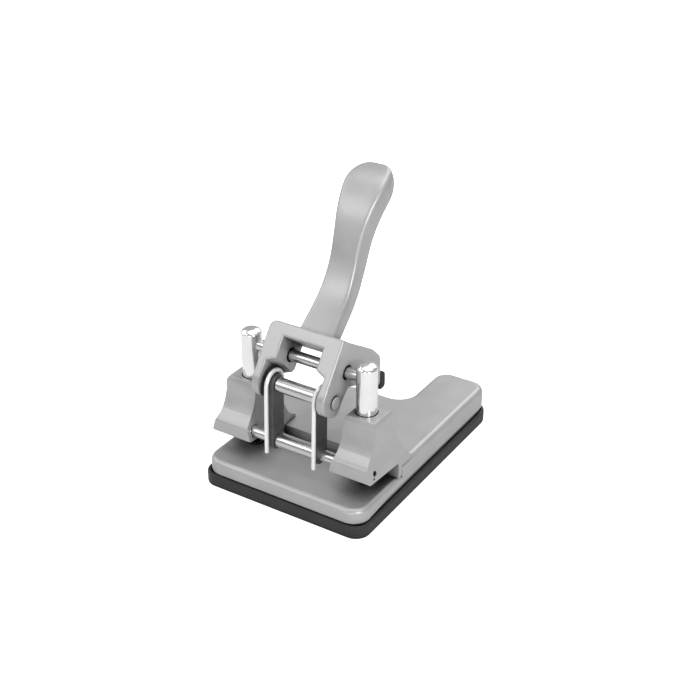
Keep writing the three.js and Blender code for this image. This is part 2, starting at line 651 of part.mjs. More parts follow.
/** The recess that makes room for a link and its spring beside the cheek's lower end. */
function linkRecess(side) {
  const inner = YOKE_HALF_GAP - 5;
  const outer = linkInner + LINK_THICK + LINK_SIDE_GAP;
  const roof = (across, back) => (
    RECESS_FRONT - RECESS_FALL_BACK * (back + YOKE_FRONT) - RECESS_FALL_OUT * (across - YOKE_HALF_GAP));
  const corners = [inner, outer].flatMap((across) => [-40, 40].flatMap((back) => (
    [-40, roof(across, back)].map((up) => [leverX(side, across), ...onYoke(up, back)]))));
  return wasm.Manifold.hull(corners);
}

const [HANDLE_START_Y, HANDLE_START_Z] = onYoke(YOKE_TOP - HANDLE_SEAT, 1.5);
const HANDLE_RISE = OVERALL_HEIGHT - HANDLE_CROWN - HANDLE_START_Z;

/** The handle's centre line, width and thickness from the crossbar to the palm, as shares of its sizes. */
const HANDLE_STATIONS = [
  [0, 0, 0.817, 0.633],
  [0.111, 0.065, 0.784, 0.734],
  [0.356, 0.24, 0.712, 0.81],
  [0.497, 0.426, 0.673, 0.861],
  [0.583, 0.6, 0.706, 0.949],
  [0.683, 0.761, 0.843, 1],
  [0.833, 0.901, 0.987, 0.924],
  [1, 1, 1, 0.696],
].map(([run, rise, wide, deep]) => ({
  y: HANDLE_START_Y + run * HANDLE_RUN,
  z: HANDLE_START_Z + rise * HANDLE_RISE,
  width: wide * PALM_WIDTH,
  thick: deep * HANDLE_THICK,
}));
const HANDLE_RINGS = 26;
const HANDLE_RING_POINTS = 16;
const HANDLE_SQUARENESS = 0.45; // 1 is an ellipse, 0 a rectangle
const HANDLE_TIP = 0.14; // share of the length that rounds the palm's end
const HANDLE_TIP_FLAT = 0.18; // share of the palm's width left at its very end

/** A value along the handle, smoothed between its stations. */
function handleValue(key) {
  const points = HANDLE_STATIONS.map((station, index) => new THREE.Vector3(index, station[key], 0));
  return new THREE.CatmullRomCurve3(points, false, 'catmullrom', 0.5);
}

function handleSolid() {
  const spine = new THREE.CatmullRomCurve3(
    HANDLE_STATIONS.map(({ y, z }) => new THREE.Vector3(LEVER_CENTRE, y, z)), false, 'catmullrom', 0.5);
  const width = handleValue('width');
  const thick = handleValue('thick');
  const across = new THREE.Vector3(1, 0, 0);
  const rings = [];
  for (let ring = 0; ring < HANDLE_RINGS; ring += 1) {
    const t = Math.sin((Math.PI / 2) * (ring / (HANDLE_RINGS - 1)));
    const toEnd = Math.min(1, (1 - t) / HANDLE_TIP);
    const round = Math.sqrt(Math.max(HANDLE_TIP_FLAT ** 2, 1 - (1 - toEnd) ** 2));
    const centre = spine.getPoint(t);
    const behind = new THREE.Vector3().crossVectors(spine.getTangent(t), across);
    const halfWidth = (width.getPoint(t).y / 2) * round;
    const halfThick = (thick.getPoint(t).y / 2) * (0.35 + 0.65 * round) * (toEnd < 1 ? Math.sqrt(round) : 1);
    const points = [];
    for (let k = 0; k < HANDLE_RING_POINTS; k += 1) {
      const angle = (2 * Math.PI * k) / HANDLE_RING_POINTS;
      const a = Math.sign(Math.cos(angle)) * Math.abs(Math.cos(angle)) ** HANDLE_SQUARENESS;
      const b = Math.sign(Math.sin(angle)) * Math.abs(Math.sin(angle)) ** HANDLE_SQUARENESS;
      const sideways = centre.clone().addScaledVector(across, a * halfWidth);
      points.push(sideways.addScaledVector(behind, b * halfThick));
    }
    rings.push(points);
  }
  return loft(rings);
}

function lever() {
  const yoke = extrudeAlongX(
    yokeOutline(), LEVER_CENTRE - YOKE_HALF_WIDTH, LEVER_CENTRE + YOKE_HALF_WIDTH, YOKE_EDGE);
  const body = join(cut(yoke, behindYoke(), yokeWindow()), handleSolid());
  const recesses = SIDES.map(linkRecess);
  const pivotHole = rodAlongX(PIVOT_DIAMETER + 2 * FIT_GAP, PIVOT_Y, PIVOT_Z, -FAR, FAR);
  const stemHole = bufferStem(BUFFER_STEM + 2 * PRESS_GAP, FIT_GAP);
  const driveHole = rodAlongX(DRIVE_ROD_DIAMETER + 2 * DRIVE_HOLE_GAP, 0, DRIVE_ROD_Z, -FAR, FAR);
  return cut(body, ...recesses, pivotHole, stemHole, driveHole);
}

const BUFFER_X = LEVER_CENTRE + YOKE_HALF_WIDTH - HEEL_THICK / 2;

/** A peg along Y that goes into the heel's rear edge. */
function bufferStem(diameter, extra) {
  const geometry = new THREE.CylinderGeometry(diameter / 2, diameter / 2, BUFFER_STEM_LENGTH + 1 + extra, 20);
  const middle = HEEL_REAR + 1 - (BUFFER_STEM_LENGTH + 1 + extra) / 2;
  geometry.translate(BUFFER_X, middle, BUFFER_BOTTOM + BUFFER_STEM_RISE);
  return toSolid(geometry);
}

/** The rubber block that meets the base when the lever is pressed. */
function leverBuffer() {
  const front = HEEL_REAR + FIT_GAP;
  const rear = HEEL_REAR + BUFFER_DEPTH;
  const top = BUFFER_BOTTOM + BUFFER_HEIGHT;
  const outline = roundedShape([
    [front, BUFFER_BOTTOM, 1],
    [rear, BUFFER_BOTTOM, BUFFER_CORNER],
    [rear, top, BUFFER_CORNER],
    [front, top, 1],
  ], 4);
  const half = HEEL_THICK / 2 - 0.4;
  return join(extrudeAlongX(outline, BUFFER_X - half, BUFFER_X + half, 0.8), bufferStem(BUFFER_STEM, 0));
}

// ---------------------------------------------------------------- return springs
/** A wire spring: a long leg in front of the link, a loop over its eye, a short tail behind. */
function returnSpring(side) {
  const radius = LINK_HALF_DEPTH + SPRING_LOOP_GAP + WIRE_DIAMETER / 2;
  const along = new THREE.Vector3(0, PIVOT_Y - TIE_ROD_Y, PIVOT_Z - TIE_ROD_Z).normalize();
  const back = new THREE.Vector3(0, along.z, -along.y);
  const eye = new THREE.Vector3(leverX(side, linkMiddle + SPRING_OUTWARD), PIVOT_Y, PIVOT_Z);
  const place = (angle, drop = 0) => eye.clone()
    .addScaledVector(back, radius * Math.cos(angle))
    .addScaledVector(along, radius * Math.sin(angle) - drop);
  const path = new THREE.CurvePath();
  path.add(new THREE.LineCurve3(place(Math.PI, SPRING_LEG), place(Math.PI)));
  for (let step = 0; step < SPRING_ARC_STEPS; step += 1) {
    const angle = Math.PI * (1 - step / SPRING_ARC_STEPS);
    path.add(new THREE.LineCurve3(place(angle), place(angle - Math.PI / SPRING_ARC_STEPS)));
  }
  path.add(new THREE.LineCurve3(place(0), place(0, SPRING_TAIL)));
  const section = new THREE.Shape();
  section.absarc(0, 0, WIRE_DIAMETER / 2, 0, 2 * Math.PI);
  return toSolid(new THREE.ExtrudeGeometry(section, {
    steps: SPRING_STEPS,
    curveSegments: 4,
    bevelEnabled: false,
    extrudePath: path,
  }));
}

// ---------------------------------------------------------------- assembly
const punch = new THREE.Group();
punch.add(namedMesh('chip_tray', chipTray(), TRAY_BLACK));
FEET.forEach((place, index) => punch.add(namedMesh(`rubber_foot_${index + 1}`, rubberFoot(place), RUBBER)));
punch.add(namedMesh('base_casting', baseCasting(), CAST_GREY));
HEAD_BOLTS.forEach((place, index) => {
  punch.add(namedMesh(`head_bolt_${index + 1}`, headBolt(place), DARK_STEEL));
});
SIDES.forEach((side) => {
  punch.add(namedMesh(`${side.name}_die`, die(side), BRIGHT_STEEL));
  punch.add(namedMesh(`${side.name}_punch_head`, punchHead(side), CAST_GREY));
  punch.add(namedMesh(`${side.name}_guide_bush`, guideBush(side), BRONZE));
  punch.add(namedMesh(`${side.name}_plunger`, plunger(side), CHROME));
  punch.add(namedMesh(`${side.name}_punch_pin`, punchPin(side), BRIGHT_STEEL));
  punch.add(namedMesh(`${side.name}_link`, link(side), DARK_STEEL));
  punch.add(namedMesh(`${side.name}_return_spring`, returnSpring(side), CHROME));
});
punch.add(namedMesh('drive_rod', driveRod(), BRIGHT_STEEL));
punch.add(namedMesh('tie_rod', tieRod(), BRIGHT_STEEL));
punch.add(namedMesh('tie_rod_sleeve', spacerSleeve(SLEEVE_DIAMETER, TIE_ROD_DIAMETER + 2 * FIT_GAP,
  TIE_ROD_Y, TIE_ROD_Z), BRIGHT_STEEL));
punch.add(namedMesh('pivot_pin', pivotPin(), BRIGHT_STEEL));
punch.add(namedMesh('pivot_sleeve', spacerSleeve(SLEEVE_DIAMETER, PIVOT_DIAMETER + 2 * FIT_GAP,
  PIVOT_Y, PIVOT_Z), BRIGHT_STEEL));
punch.add(namedMesh('lever', lever(), CAST_GREY));
punch.add(namedMesh('lever_buffer', leverBuffer(), RUBBER));

export default punch;
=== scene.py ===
"""Dresses a heavy-duty two-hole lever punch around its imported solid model.

Lengths are millimetres in the sizes below and metres in the meshes. The desk is Z 0, the punches stand in
the plane Y 0, the paper comes in from the front (-Y), and the tail of the base is at the right (+X).
"""

import logging
import math
from dataclasses import dataclass, field
from enum import Enum
from typing import Callable, Sequence

import bmesh
import bpy
from mathutils import Matrix, Vector


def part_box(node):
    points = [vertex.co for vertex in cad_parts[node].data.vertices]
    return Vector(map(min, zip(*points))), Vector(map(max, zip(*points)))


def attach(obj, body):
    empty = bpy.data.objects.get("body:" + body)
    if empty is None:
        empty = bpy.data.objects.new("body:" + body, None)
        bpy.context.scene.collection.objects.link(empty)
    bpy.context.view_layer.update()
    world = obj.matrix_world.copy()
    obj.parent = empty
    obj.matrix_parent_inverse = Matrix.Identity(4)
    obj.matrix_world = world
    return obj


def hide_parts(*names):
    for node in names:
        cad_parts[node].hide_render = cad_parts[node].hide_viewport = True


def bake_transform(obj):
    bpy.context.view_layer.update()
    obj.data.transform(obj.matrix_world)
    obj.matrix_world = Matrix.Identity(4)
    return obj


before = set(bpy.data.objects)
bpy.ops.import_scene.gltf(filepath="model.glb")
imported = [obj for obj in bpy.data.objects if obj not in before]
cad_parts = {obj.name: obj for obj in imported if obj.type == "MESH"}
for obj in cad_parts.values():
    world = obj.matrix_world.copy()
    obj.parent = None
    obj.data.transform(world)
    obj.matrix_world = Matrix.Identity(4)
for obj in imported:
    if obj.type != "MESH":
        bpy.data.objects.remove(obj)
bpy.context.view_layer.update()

MM = 0.001
SLACK = 0.05  # how near to a level counts as on it
FAR = 90.0  # past the front and both sides of the base
WELD = 0.004  # vertices nearer to each other than this become one
SIDE_SHARE = 0.49  # how much of a side one rounded corner may take
FOUR = range(1, 5)  # the numbers of the feet and of the head screws
LOG = logging.getLogger("punch")

Piece = bpy.types.Object
Socket = bpy.types.NodeSocket
Vert = bmesh.types.BMVert
Edge = bmesh.types.BMEdge
Place = tuple[float, float, float]
Corner = tuple[float, float, float]


class Plane(Enum):
    """The plane in which an outline is drawn: its two axes, and the axis across it."""

    XY = (0, 1, 2)
    YZ = (1, 2, 0)
    XZ = (0, 2, 1)

    def place(self, a: float, b: float, level: float) -> Vector:
        """Returns the point (a, b) of the plane at a level, in metres."""
        point = Vector((0.0, 0.0, 0.0))
        for axis, value in zip(self.value, (a, b, level)):
            point[axis] = value * MM
        return point


class Side(Enum):
    """The two punches, by the side of the middle that they stand on."""

    LEFT = -1
    RIGHT = 1

    @property
    def label(self) -> str:
        """The side's word in the names of its nodes."""
        return self.name.lower()


class Kind(Enum):
    """What a selection is made of."""

    VERT = "verts"
    EDGE = "edges"
    FACE = "faces"


def near(value: float, size: float) -> bool:
    """Returns whether a length in metres is a size in millimetres."""
    return abs(value / MM - size) < SLACK


def on(edge: Edge, **levels: float) -> bool:
    """Returns whether both ends of an edge are at the given levels, such as z=18."""
    return all(near(getattr(vert.co, axis), level) for vert in edge.verts for axis, level in levels.items())


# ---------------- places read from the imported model
class Datum:
    """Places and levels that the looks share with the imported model, in millimetres."""

    def span(self, node: str) -> tuple[Vector, Vector]:
        """Returns the lowest and the highest corner of a node."""
        low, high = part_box(node)
        return low / MM, high / MM

    def high(self, node: str) -> Vector:
        """Returns the highest corner of a node."""
        return self.span(node)[1]

    def centre(self, node: str) -> Vector:
        """Returns the middle of a node's box."""
        low, high = self.span(node)
        return (low + high) / 2

    def punch_x(self, side: Side) -> float:
        """Returns the X of a punch's axis."""
        return self.centre(f"{side.label}_die").x

    @property
    def plate_top(self) -> float:
        """The level of the paper plate."""
        return self.high("left_die").z

    @property
    def deck_top(self) -> float:
        """The level of the raised rear part of the base."""
        return self.high("base_casting").z


DATUM = Datum()


# ---------------- modelling by operators
class Bench:
    """Models pieces with Blender's operators, as by hand."""

    def settle(self) -> None:
        """Goes back to object mode with nothing selected."""
        if bpy.context.mode != "OBJECT":
            bpy.ops.object.mode_set(mode="OBJECT")
        bpy.ops.object.select_all(action="DESELECT")

    def activate(self, piece: Piece) -> None:
        """Makes a piece the only selected and active object."""
        self.settle()
        piece.select_set(True)
        bpy.context.view_layer.objects.active = piece

    def edit(self, piece: Piece, kind: Kind = Kind.VERT, action: str = "DESELECT") -> None:
        """Opens a piece for editing with nothing selected, or with the action "SELECT" all of it."""
        self.activate(piece)
        bpy.ops.object.mode_set(mode="EDIT")
        bpy.ops.mesh.select_mode(type=kind.name)
        bpy.ops.mesh.select_all(action=action)

    def pick(self, piece: Piece, kind: Kind, test: Callable[..., bool]) -> int:
        """Selects the open piece's elements that pass a test, and nothing else.

        Args:
            piece: The piece that is open for editing.
            kind: Vertices, edges or faces.
            test: Takes one element and says whether it is wanted.

        Returns:
            How many elements are selected.
        """
        bpy.ops.mesh.select_mode(type=kind.name)
        bpy.ops.mesh.select_all(action="DESELECT")
        mesh = bmesh.from_edit_mesh(piece.data)
        wanted = [element for element in getattr(mesh, kind.value) if test(element)]
        for element in wanted:
            element.select_set(True)
        mesh.select_flush_mode()
        bmesh.update_edit_mesh(piece.data)
        return len(wanted)

    def pick_least(self, piece: Piece, rank: Callable[[Vert], float]) -> Vector:
        """Selects the open piece's vertex that ranks lowest and returns its place."""
        chosen = min(bmesh.from_edit_mesh(piece.data).verts, key=rank)
        place, index = chosen.co.copy(), chosen.index
        self.pick(piece, Kind.VERT, lambda vert: vert.index == index)
        return place

    def pick_level(self, piece: Piece, level: float, facing: int) -> None:
        """Opens a piece and selects its faces at a level that face up (1) or down (-1)."""
        self.edit(piece, Kind.FACE)
        self.pick(piece, Kind.FACE, lambda face: face.normal.z * facing > 0.9
                  and near(face.calc_center_median().z, level))

    def push(self, by: Vector | Place) -> None:
        """Extrudes the selection by a step in metres."""
        bpy.ops.mesh.extrude_region_move(TRANSFORM_OT_translate={"value": by})

    def inset(self, width: float) -> None:
        """Insets the selected faces."""
        bpy.ops.mesh.inset(thickness=width * MM, use_even_offset=True)

    def close(self) -> None:
        """Turns the open piece's faces outwards and ends its editing."""
        bpy.ops.mesh.select_all(action="SELECT")
        bpy.ops.mesh.normals_make_consistent(inside=False)
        self.settle()

    def freeze(self, piece: Piece) -> None:
        """Moves a piece's place, turn and size into its mesh."""
        self.activate(piece)
        bpy.ops.object.transform_apply(location=True, rotation=True, scale=True)

    def take(self, name: str) -> Piece:
        """Names the shape that was added last, freezes it and returns it."""
        piece = bpy.context.active_object
        piece.name = name
        self.freeze(piece)
        return piece

    def disc(self, name: str, steps: int, radius: float, place: Vector | Place,
             tilt: float = 0.0) -> Piece:
        """Returns a disc at a place in metres, tilted about X and open for editing, all selected."""
        self.settle()
        bpy.ops.mesh.primitive_circle_add(vertices=steps, radius=radius * MM, fill_type="NGON",
                                          location=place, rotation=(tilt, 0.0, 0.0))
        piece = self.take(name)
        self.edit(piece, Kind.FACE, "SELECT")
        return piece

    def outline(self, name: str, corners: Sequence[Corner], plane: Plane, level: float,
                arc: int = 8) -> Piece:
        """Draws a flat outline: a disc whose corners are moved to their places and rounded.

        Args:
            name: The new piece's name.
            corners: (a, b, radius) of each corner, in order, in the plane's two axes.
            plane: The plane of the outline.
            level: Where the plane is on its third axis.
            arc: Segments in each rounded corner.

        Returns:
            The new piece, one flat face.
        """
        count = len(corners)
        piece = self.disc(name, count, 1.0 / MM, (0.0, 0.0, 0.0))
        for index, (a, b, _) in enumerate(corners):
            start = self.pick_least(piece, lambda vert: abs(vert.index - index))
            bpy.ops.transform.translate(value=plane.place(a, b, level) - start)
        for index, (a, b, radius) in enumerate(corners):
            if radius <= 0:
                continue
            here = Vector((a, b))
            before = Vector(corners[index - 1][:2]) - here
            after = Vector(corners[(index + 1) % count][:2]) - here
            half = before.angle(after) / 2
            reach = min(radius / math.tan(half), SIDE_SHARE * min(before.length, after.length))
            spot = plane.place(a, b, level)
            self.pick_least(piece, lambda vert: (vert.co - spot).length_squared)
            bpy.ops.mesh.bevel(offset=reach * MM, offset_type="OFFSET", segments=arc, profile=0.5,
                               affect="VERTICES", clamp_overlap=False)
        self.settle()
        return piece

    def prism(self, name: str, corners: Sequence[Corner], plane: Plane, low: float, high: float,
              arc: int = 8) -> Piece:
        """Returns an outline extruded from one level to another."""
        piece = self.outline(name, corners, plane, low, arc)
        by = Vector((0.0, 0.0, 0.0))
        by[plane.value[2]] = high - low
        self.edit(piece, action="SELECT")
        self.push(by * MM)
        self.close()
        return piece

    def rod(self, name: str, axis: str, diameter: float, centre: Vector | Place, low: float, high: float,
            edge: float = 0.0, steps: int = 64) -> Piece:
        """Returns a round rod along an axis, its end edges bevelled.

        Args:
            name: The new piece's name.
            axis: "x", "y" or "z".
            diameter: Across the rod.
            centre: A point on its axis.
            low: Where it starts on its axis.
            high: Where it ends.
            edge: Bevel of the two end edges.
            steps: Faces round it.
        """
        self.settle()
        place = Vector(centre)
        place["xyz".index(axis)] = (low + high) / 2
        turn = {"x": (0.0, math.pi / 2, 0.0), "y": (math.pi / 2, 0.0, 0.0), "z": (0.0, 0.0, 0.0)}[axis]
        bpy.ops.mesh.primitive_cylinder_add(vertices=steps, radius=diameter / 2 * MM,
                                            depth=(high - low) * MM, location=place * MM, rotation=turn)
        piece = self.take(name)
        if edge > 0:
            self.edit(piece)
            self.pick(piece, Kind.EDGE, lambda e: on(e, **{axis: low}) or on(e, **{axis: high}))
            bpy.ops.mesh.bevel(offset=edge * MM, segments=4, profile=0.5, affect="EDGES")
            self.settle()
        return piece

    def bar(self, name: str, node: str) -> Piece:
        """Returns a round bar along X that fills a node's box."""
        low, high = DATUM.span(node)
        return self.rod(name, "x", high.z - low.z, DATUM.centre(node), low.x, high.x, edge=0.5)

    def box(self, name: str, low: Place, high: Place) -> Piece:
        """Returns a plain box between two corners, as a cutting or joining tool."""
        self.settle()
        bpy.ops.mesh.primitive_cube_add(size=1.0)
        piece = bpy.context.active_object
        piece.scale = (Vector(high) - Vector(low)) * MM
        piece.location = (Vector(high) + Vector(low)) / 2 * MM
        return self.take(name)

    def modify(self, piece: Piece, kind: str, **settings: object) -> None:
        """Puts a modifier with the given settings on a piece and applies it."""
        self.activate(piece)
        modifier = piece.modifiers.new(kind.lower(), kind)
        for key, value in settings.items():
            setattr(modifier, key, value)
        bpy.ops.object.modifier_apply(modifier=modifier.name)

    def combine(self, piece: Piece, how: str, *tools: Piece) -> None:
        """Cuts, joins or intersects a piece with tools, which are used up.

        Args:
            piece: The piece that stays.
            how: "DIFFERENCE", "UNION" or "INTERSECT".
            tools: The other bodies.
        """
        for tool in tools:
            self.modify(piece, "BOOLEAN", operation=how, solver="EXACT", object=tool)
            bpy.data.objects.remove(tool)
        self.edit(piece, action="SELECT")
        bpy.ops.mesh.remove_doubles(threshold=WELD * MM)
        self.settle()

    def soften(self, piece: Piece, width: float, angle: float = 28.0, segments: int = 3) -> None:
        """Rounds every edge that is sharper than an angle."""
        self.modify(piece, "BEVEL", width=width * MM, segments=segments, limit_method="ANGLE",
                    angle_limit=math.radians(angle), use_clamp_overlap=True, miter_outer="MITER_ARC")

    def bevel(self, piece: Piece, test: Callable[[Edge], bool], width: float, segments: int = 5) -> None:
        """Rounds the edges that pass a test."""
        self.edit(piece, Kind.EDGE)
        if self.pick(piece, Kind.EDGE, test):
            bpy.ops.mesh.bevel(offset=width * MM, segments=segments, profile=0.5, affect="EDGES",
                               clamp_overlap=False)
        else:
            LOG.warning("%s has no edge to round", piece.name)
        self.settle()

    def polish(self, piece: Piece, angle: float) -> None:
        """Shades a piece smooth up to an angle, with its large faces leading."""
        self.activate(piece)
        bpy.ops.object.shade_smooth_by_angle(angle=math.radians(angle))
        self.modify(piece, "WEIGHTED_NORMAL", keep_sharp=True)


BENCH = Bench()


# ---------------- shader maths
class Graph:
    """The node graph of a material or a world."""

    def __init__(self, owner: bpy.types.Material | bpy.types.World) -> None:
        """Empties the owner's graph."""
        self.owner = owner
        owner.use_nodes = True
        self.tree = owner.node_tree
        self.tree.nodes.clear()

    def node(self, kind: str, inputs: dict | None = None, **settings: object) -> bpy.types.Node:
        """Adds a node.

        Args:
            kind: The node's type.
            inputs: A value or a socket for each named or numbered input.
            settings: The node's own settings, such as a Math node's operation, which are set first.

        Returns:
            The new node.
        """
        made = self.tree.nodes.new(kind)
        for key, value in settings.items():
            setattr(made, key, value)
        for key, value in (inputs or {}).items():
            value = getattr(value, "socket", value)
            if isinstance(value, Socket):
                self.tree.links.new(value, made.inputs[key])
            else:
                made.inputs[key].default_value = value
        return made

    def ramp(self, value: Socket, low: float, high: float) -> "Value":
        """Returns a value stretched so that low becomes 0 and high becomes 1."""
        made = self.node("ShaderNodeValToRGB", {0: value})
        for stop, place in zip(made.color_ramp.elements, (low, high)):
            stop.position = place
        return Value(self, made.outputs[0])

    def openness(self, reach: float, low: float, high: float) -> "Value":
        """Returns how open the surface is within a reach: 0 in a crevice, 1 in the open; the finishes paint
        shade by it.
        """
        made = self.node("ShaderNodeAmbientOcclusion", {"Distance": reach * MM}, samples=8)
        return self.ramp(made.outputs["AO"], low, high)

    def mix_colour(self, factor: "Value", *ends: object) -> Socket:
        """Returns a colour between two, each a colour or a socket, by a factor."""
        first, second = (end if isinstance(end, Socket) else (*end, 1.0) for end in ends)
        return self.node("ShaderNodeMix", {0: factor, 6: first, 7: second}, data_type="RGBA").outputs[2]

    def end(self, surface: bpy.types.Node, kind: str = "ShaderNodeOutputMaterial") -> object:
        """Ends the graph in a surface and returns its owner."""
        self.node(kind, {0: surface.outputs[0]})
        return self.owner


@dataclass(frozen=True)
class Value:
    """A number that varies over a surface; arithmetic on it adds Math nodes."""

    graph: Graph
    socket: Socket

    def combine(self, operation: str, other: object) -> "Value":
        """Returns the result of one Math node."""
        made = self.graph.node("ShaderNodeMath", {0: self, 1: other}, operation=operation)
        return Value(self.graph, made.outputs[0])

    def __add__(self, other: object) -> "Value":
        """Returns self + other."""
        return self.combine("ADD", other)

    def __mul__(self, other: object) -> "Value":
        """Returns self * other."""
        return self.combine("MULTIPLY", other)

    __radd__ = __add__
    __rmul__ = __mul__


# ---------------- finishes
@dataclass(frozen=True)
class Grain:
    """A noise over a surface, with so many cells per metre."""

    per_metre: float
    detail: float = 3.0
    rough: float = 0.55
    stretch: Place | None = None
    ramp: tuple[float, float] | None = None

    def make(self, graph: Graph) -> Value:
        """Returns the noise, between 0 and 1."""
        point = graph.node("ShaderNodeTexCoord").outputs["Object"]
        if self.stretch:
            point = graph.node("ShaderNodeMapping", {"Vector": point, "Scale": self.stretch}).outputs[0]
        made = graph.node("ShaderNodeTexNoise", {
            "Vector": point, "Scale": self.per_metre, "Detail": self.detail, "Roughness": self.rough})
        return graph.ramp(made.outputs[0], *self.ramp) if self.ramp else Value(graph, made.outputs[0])


@dataclass(frozen=True)
class Surface:
    """A finish of two colours that a tone mixes, with a grain that the normal follows.

    Its roughness is a base, a share of the tone and a share of the grain. Its bump is a depth in
    millimetres and a strength. Its painted shade darkens the colour towards a shade colour where
    ambient occlusion finds the surface closed in: each crevice is a reach and the two ends of its ramp.
    """

    name: str
    slot: str
    colours: tuple[Place, Place]
    tone: Grain
    grain: Grain
    rough: tuple[float, float, float]
    bump: tuple[float, float]
    metal: float = 0.0
    shine: float = 0.5
    swell: Grain | None = None
    swell_grain: float = 0.35
    # painted shade: ambient occlusion pulls the colour towards this shade colour in crevices, gaps and under
    # overhangs
    crevices: tuple[Place, ...] = ()
    crevice_colour: Place = (0.0, 0.0, 0.0)

    def make(self) -> bpy.types.Material:
        """Returns the material."""
        graph = Graph(bpy.data.materials.new(self.name))
        tone, grain = self.tone.make(graph), self.grain.make(graph)
        colour = graph.mix_colour(tone, *self.colours)
        # painted shade: darkens the colour where the surface is closed in, standing in for the shade that
        # falls there
        if self.crevices:
            clear = math.prod(graph.openness(*crevice) for crevice in self.crevices)
            colour = graph.mix_colour(clear, self.crevice_colour, colour)
        base, by_tone, by_grain = self.rough
        height = grain * self.swell_grain + self.swell.make(graph) if self.swell else grain
        depth, strength = self.bump
        normal = graph.node("ShaderNodeBump", {
            "Height": height, "Distance": depth * MM, "Strength": strength}).outputs[0]
        return graph.end(graph.node("ShaderNodeBsdfPrincipled", {
            "Base Color": colour, "Metallic": self.metal, "Specular IOR Level": self.shine,
            "Roughness": base + by_tone * tone + by_grain * grain, "Normal": normal}))


class Finish(Enum):
    """Every finish of the punch."""

    # satin silver-grey lacquer over a cast surface, with painted shade under the heads' lips, in slots and in
    # crevices
    CAST = Surface(
        "cast_lacquer", "cast_grey", ((0.44, 0.44, 0.445), (0.48, 0.48, 0.485)),
        Grain(55, 4, 0.6, ramp=(0.35, 0.65)), Grain(1500, 3, 0.5), (0.325, 0.06, 0.05), (0.05, 0.5),
        metal=0.35, swell=Grain(240, 2, 0.5), crevices=((20.0, 0.44, 0.62), (7.0, 0.22, 0.52)),
        crevice_colour=(0.03, 0.03, 0.031))
    # satin black moulded plastic with a fine grain, and near-black painted shade in its groove round the
    # casting's foot
    TRAY = Surface(
        "tray_plastic", "tray_black", ((0.026, 0.0265, 0.028), (0.038, 0.0385, 0.04)),
        Grain(90, 5, 0.65, ramp=(0.45, 0.8)), Grain(2400, 3, 0.6), (0.50, 0.10, 0.0), (0.03, 0.5),
        shine=0.35, crevices=((5.0, 0.45, 0.85),), crevice_colour=(0.002, 0.002, 0.002))
    # matt black rubber
    RUBBER = Surface(
        "foot_rubber", "rubber", ((0.022, 0.022, 0.023), (0.035, 0.035, 0.036)),
        Grain(2000, 3, 0.6), Grain(2000, 3, 0.6), (0.78, 0.1, 0.0), (0.03, 0.6))
    # bright plated steel with faint wear
    CHROME = Surface(
        "chrome", "chrome", ((0.93, 0.935, 0.94), (0.88, 0.885, 0.89)), Grain(120, ramp=(0.4, 0.7)),
        Grain(900, 4, 0.6, (1.0, 1.0, 0.12)), (0.13, 0.05, 0.03), (0.0005, 0.05), metal=1.0)
    # zinc-plated spring wire, pale and satin
    WIRE = Surface(
        "bright_wire", "chrome", ((0.96, 0.962, 0.965), (0.90, 0.903, 0.908)),
        Grain(1800, 2, 0.5, (1.0, 1.0, 0.05)), Grain(1800, 2, 0.5, (1.0, 1.0, 0.05)),
        (0.28, 0.1, 0.0), (0.004, 0.5), metal=0.3)
    # bright steel bar, ground round its axis
    BRIGHT = Surface(
        "turned_steel", "bright_steel", ((0.66, 0.665, 0.67), (0.56, 0.565, 0.57)), Grain(150),
        Grain(2600, 2, 0.5, (1.0, 0.06, 0.06)), (0.16, 0.10, 0.05), (0.001, 0.06), metal=1.0)
    # dark pickled flat steel
    DARK = Surface(
        "dark_steel", "dark_steel", ((0.105, 0.107, 0.11), (0.15, 0.152, 0.156)),
        Grain(260, 5, 0.65, ramp=(0.35, 0.7)), Grain(1800, 2), (0.42, 0.12, 0.0), (0.02, 0.4), metal=0.7)
    # porous bronze of a bearing bush
    BRONZE = Surface(
        "sintered_bronze", "bronze", ((0.50, 0.36, 0.17), (0.36, 0.25, 0.12)),
        Grain(3200, 3, 0.6), Grain(3200, 3, 0.6), (0.34, 0.14, 0.0), (0.02, 0.5), metal=1.0)


class Dresser:
    """Gives pieces their finish, their body and the node that they stand for."""

    def __init__(self) -> None:
        """Makes each material once."""
        self.materials = {finish: finish.value.make() for finish in Finish}

    def coat(self, piece: Piece, finish: Finish) -> None:
        """Puts one finish all over a piece."""
        piece.data.materials.clear()
        piece.data.materials.append(self.materials[finish])

    def dress(self, piece: Piece, finish: Finish, angle: float = 35.0) -> None:
        """Shades a piece smooth up to an angle, and coats, slots and reports it."""
        BENCH.polish(piece, angle)
        BENCH.settle()
        self.coat(piece, finish)
        LOG.info("%s: %d faces", piece.name, len(piece.data.polygons))

    def place(self, piece: Piece, finish: Finish, body: str, node: str) -> None:
        """Dresses a piece, mounts it on a body and lets it stand for a CAD node."""
        self.dress(piece, finish)
        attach(piece, body)
        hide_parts(node)


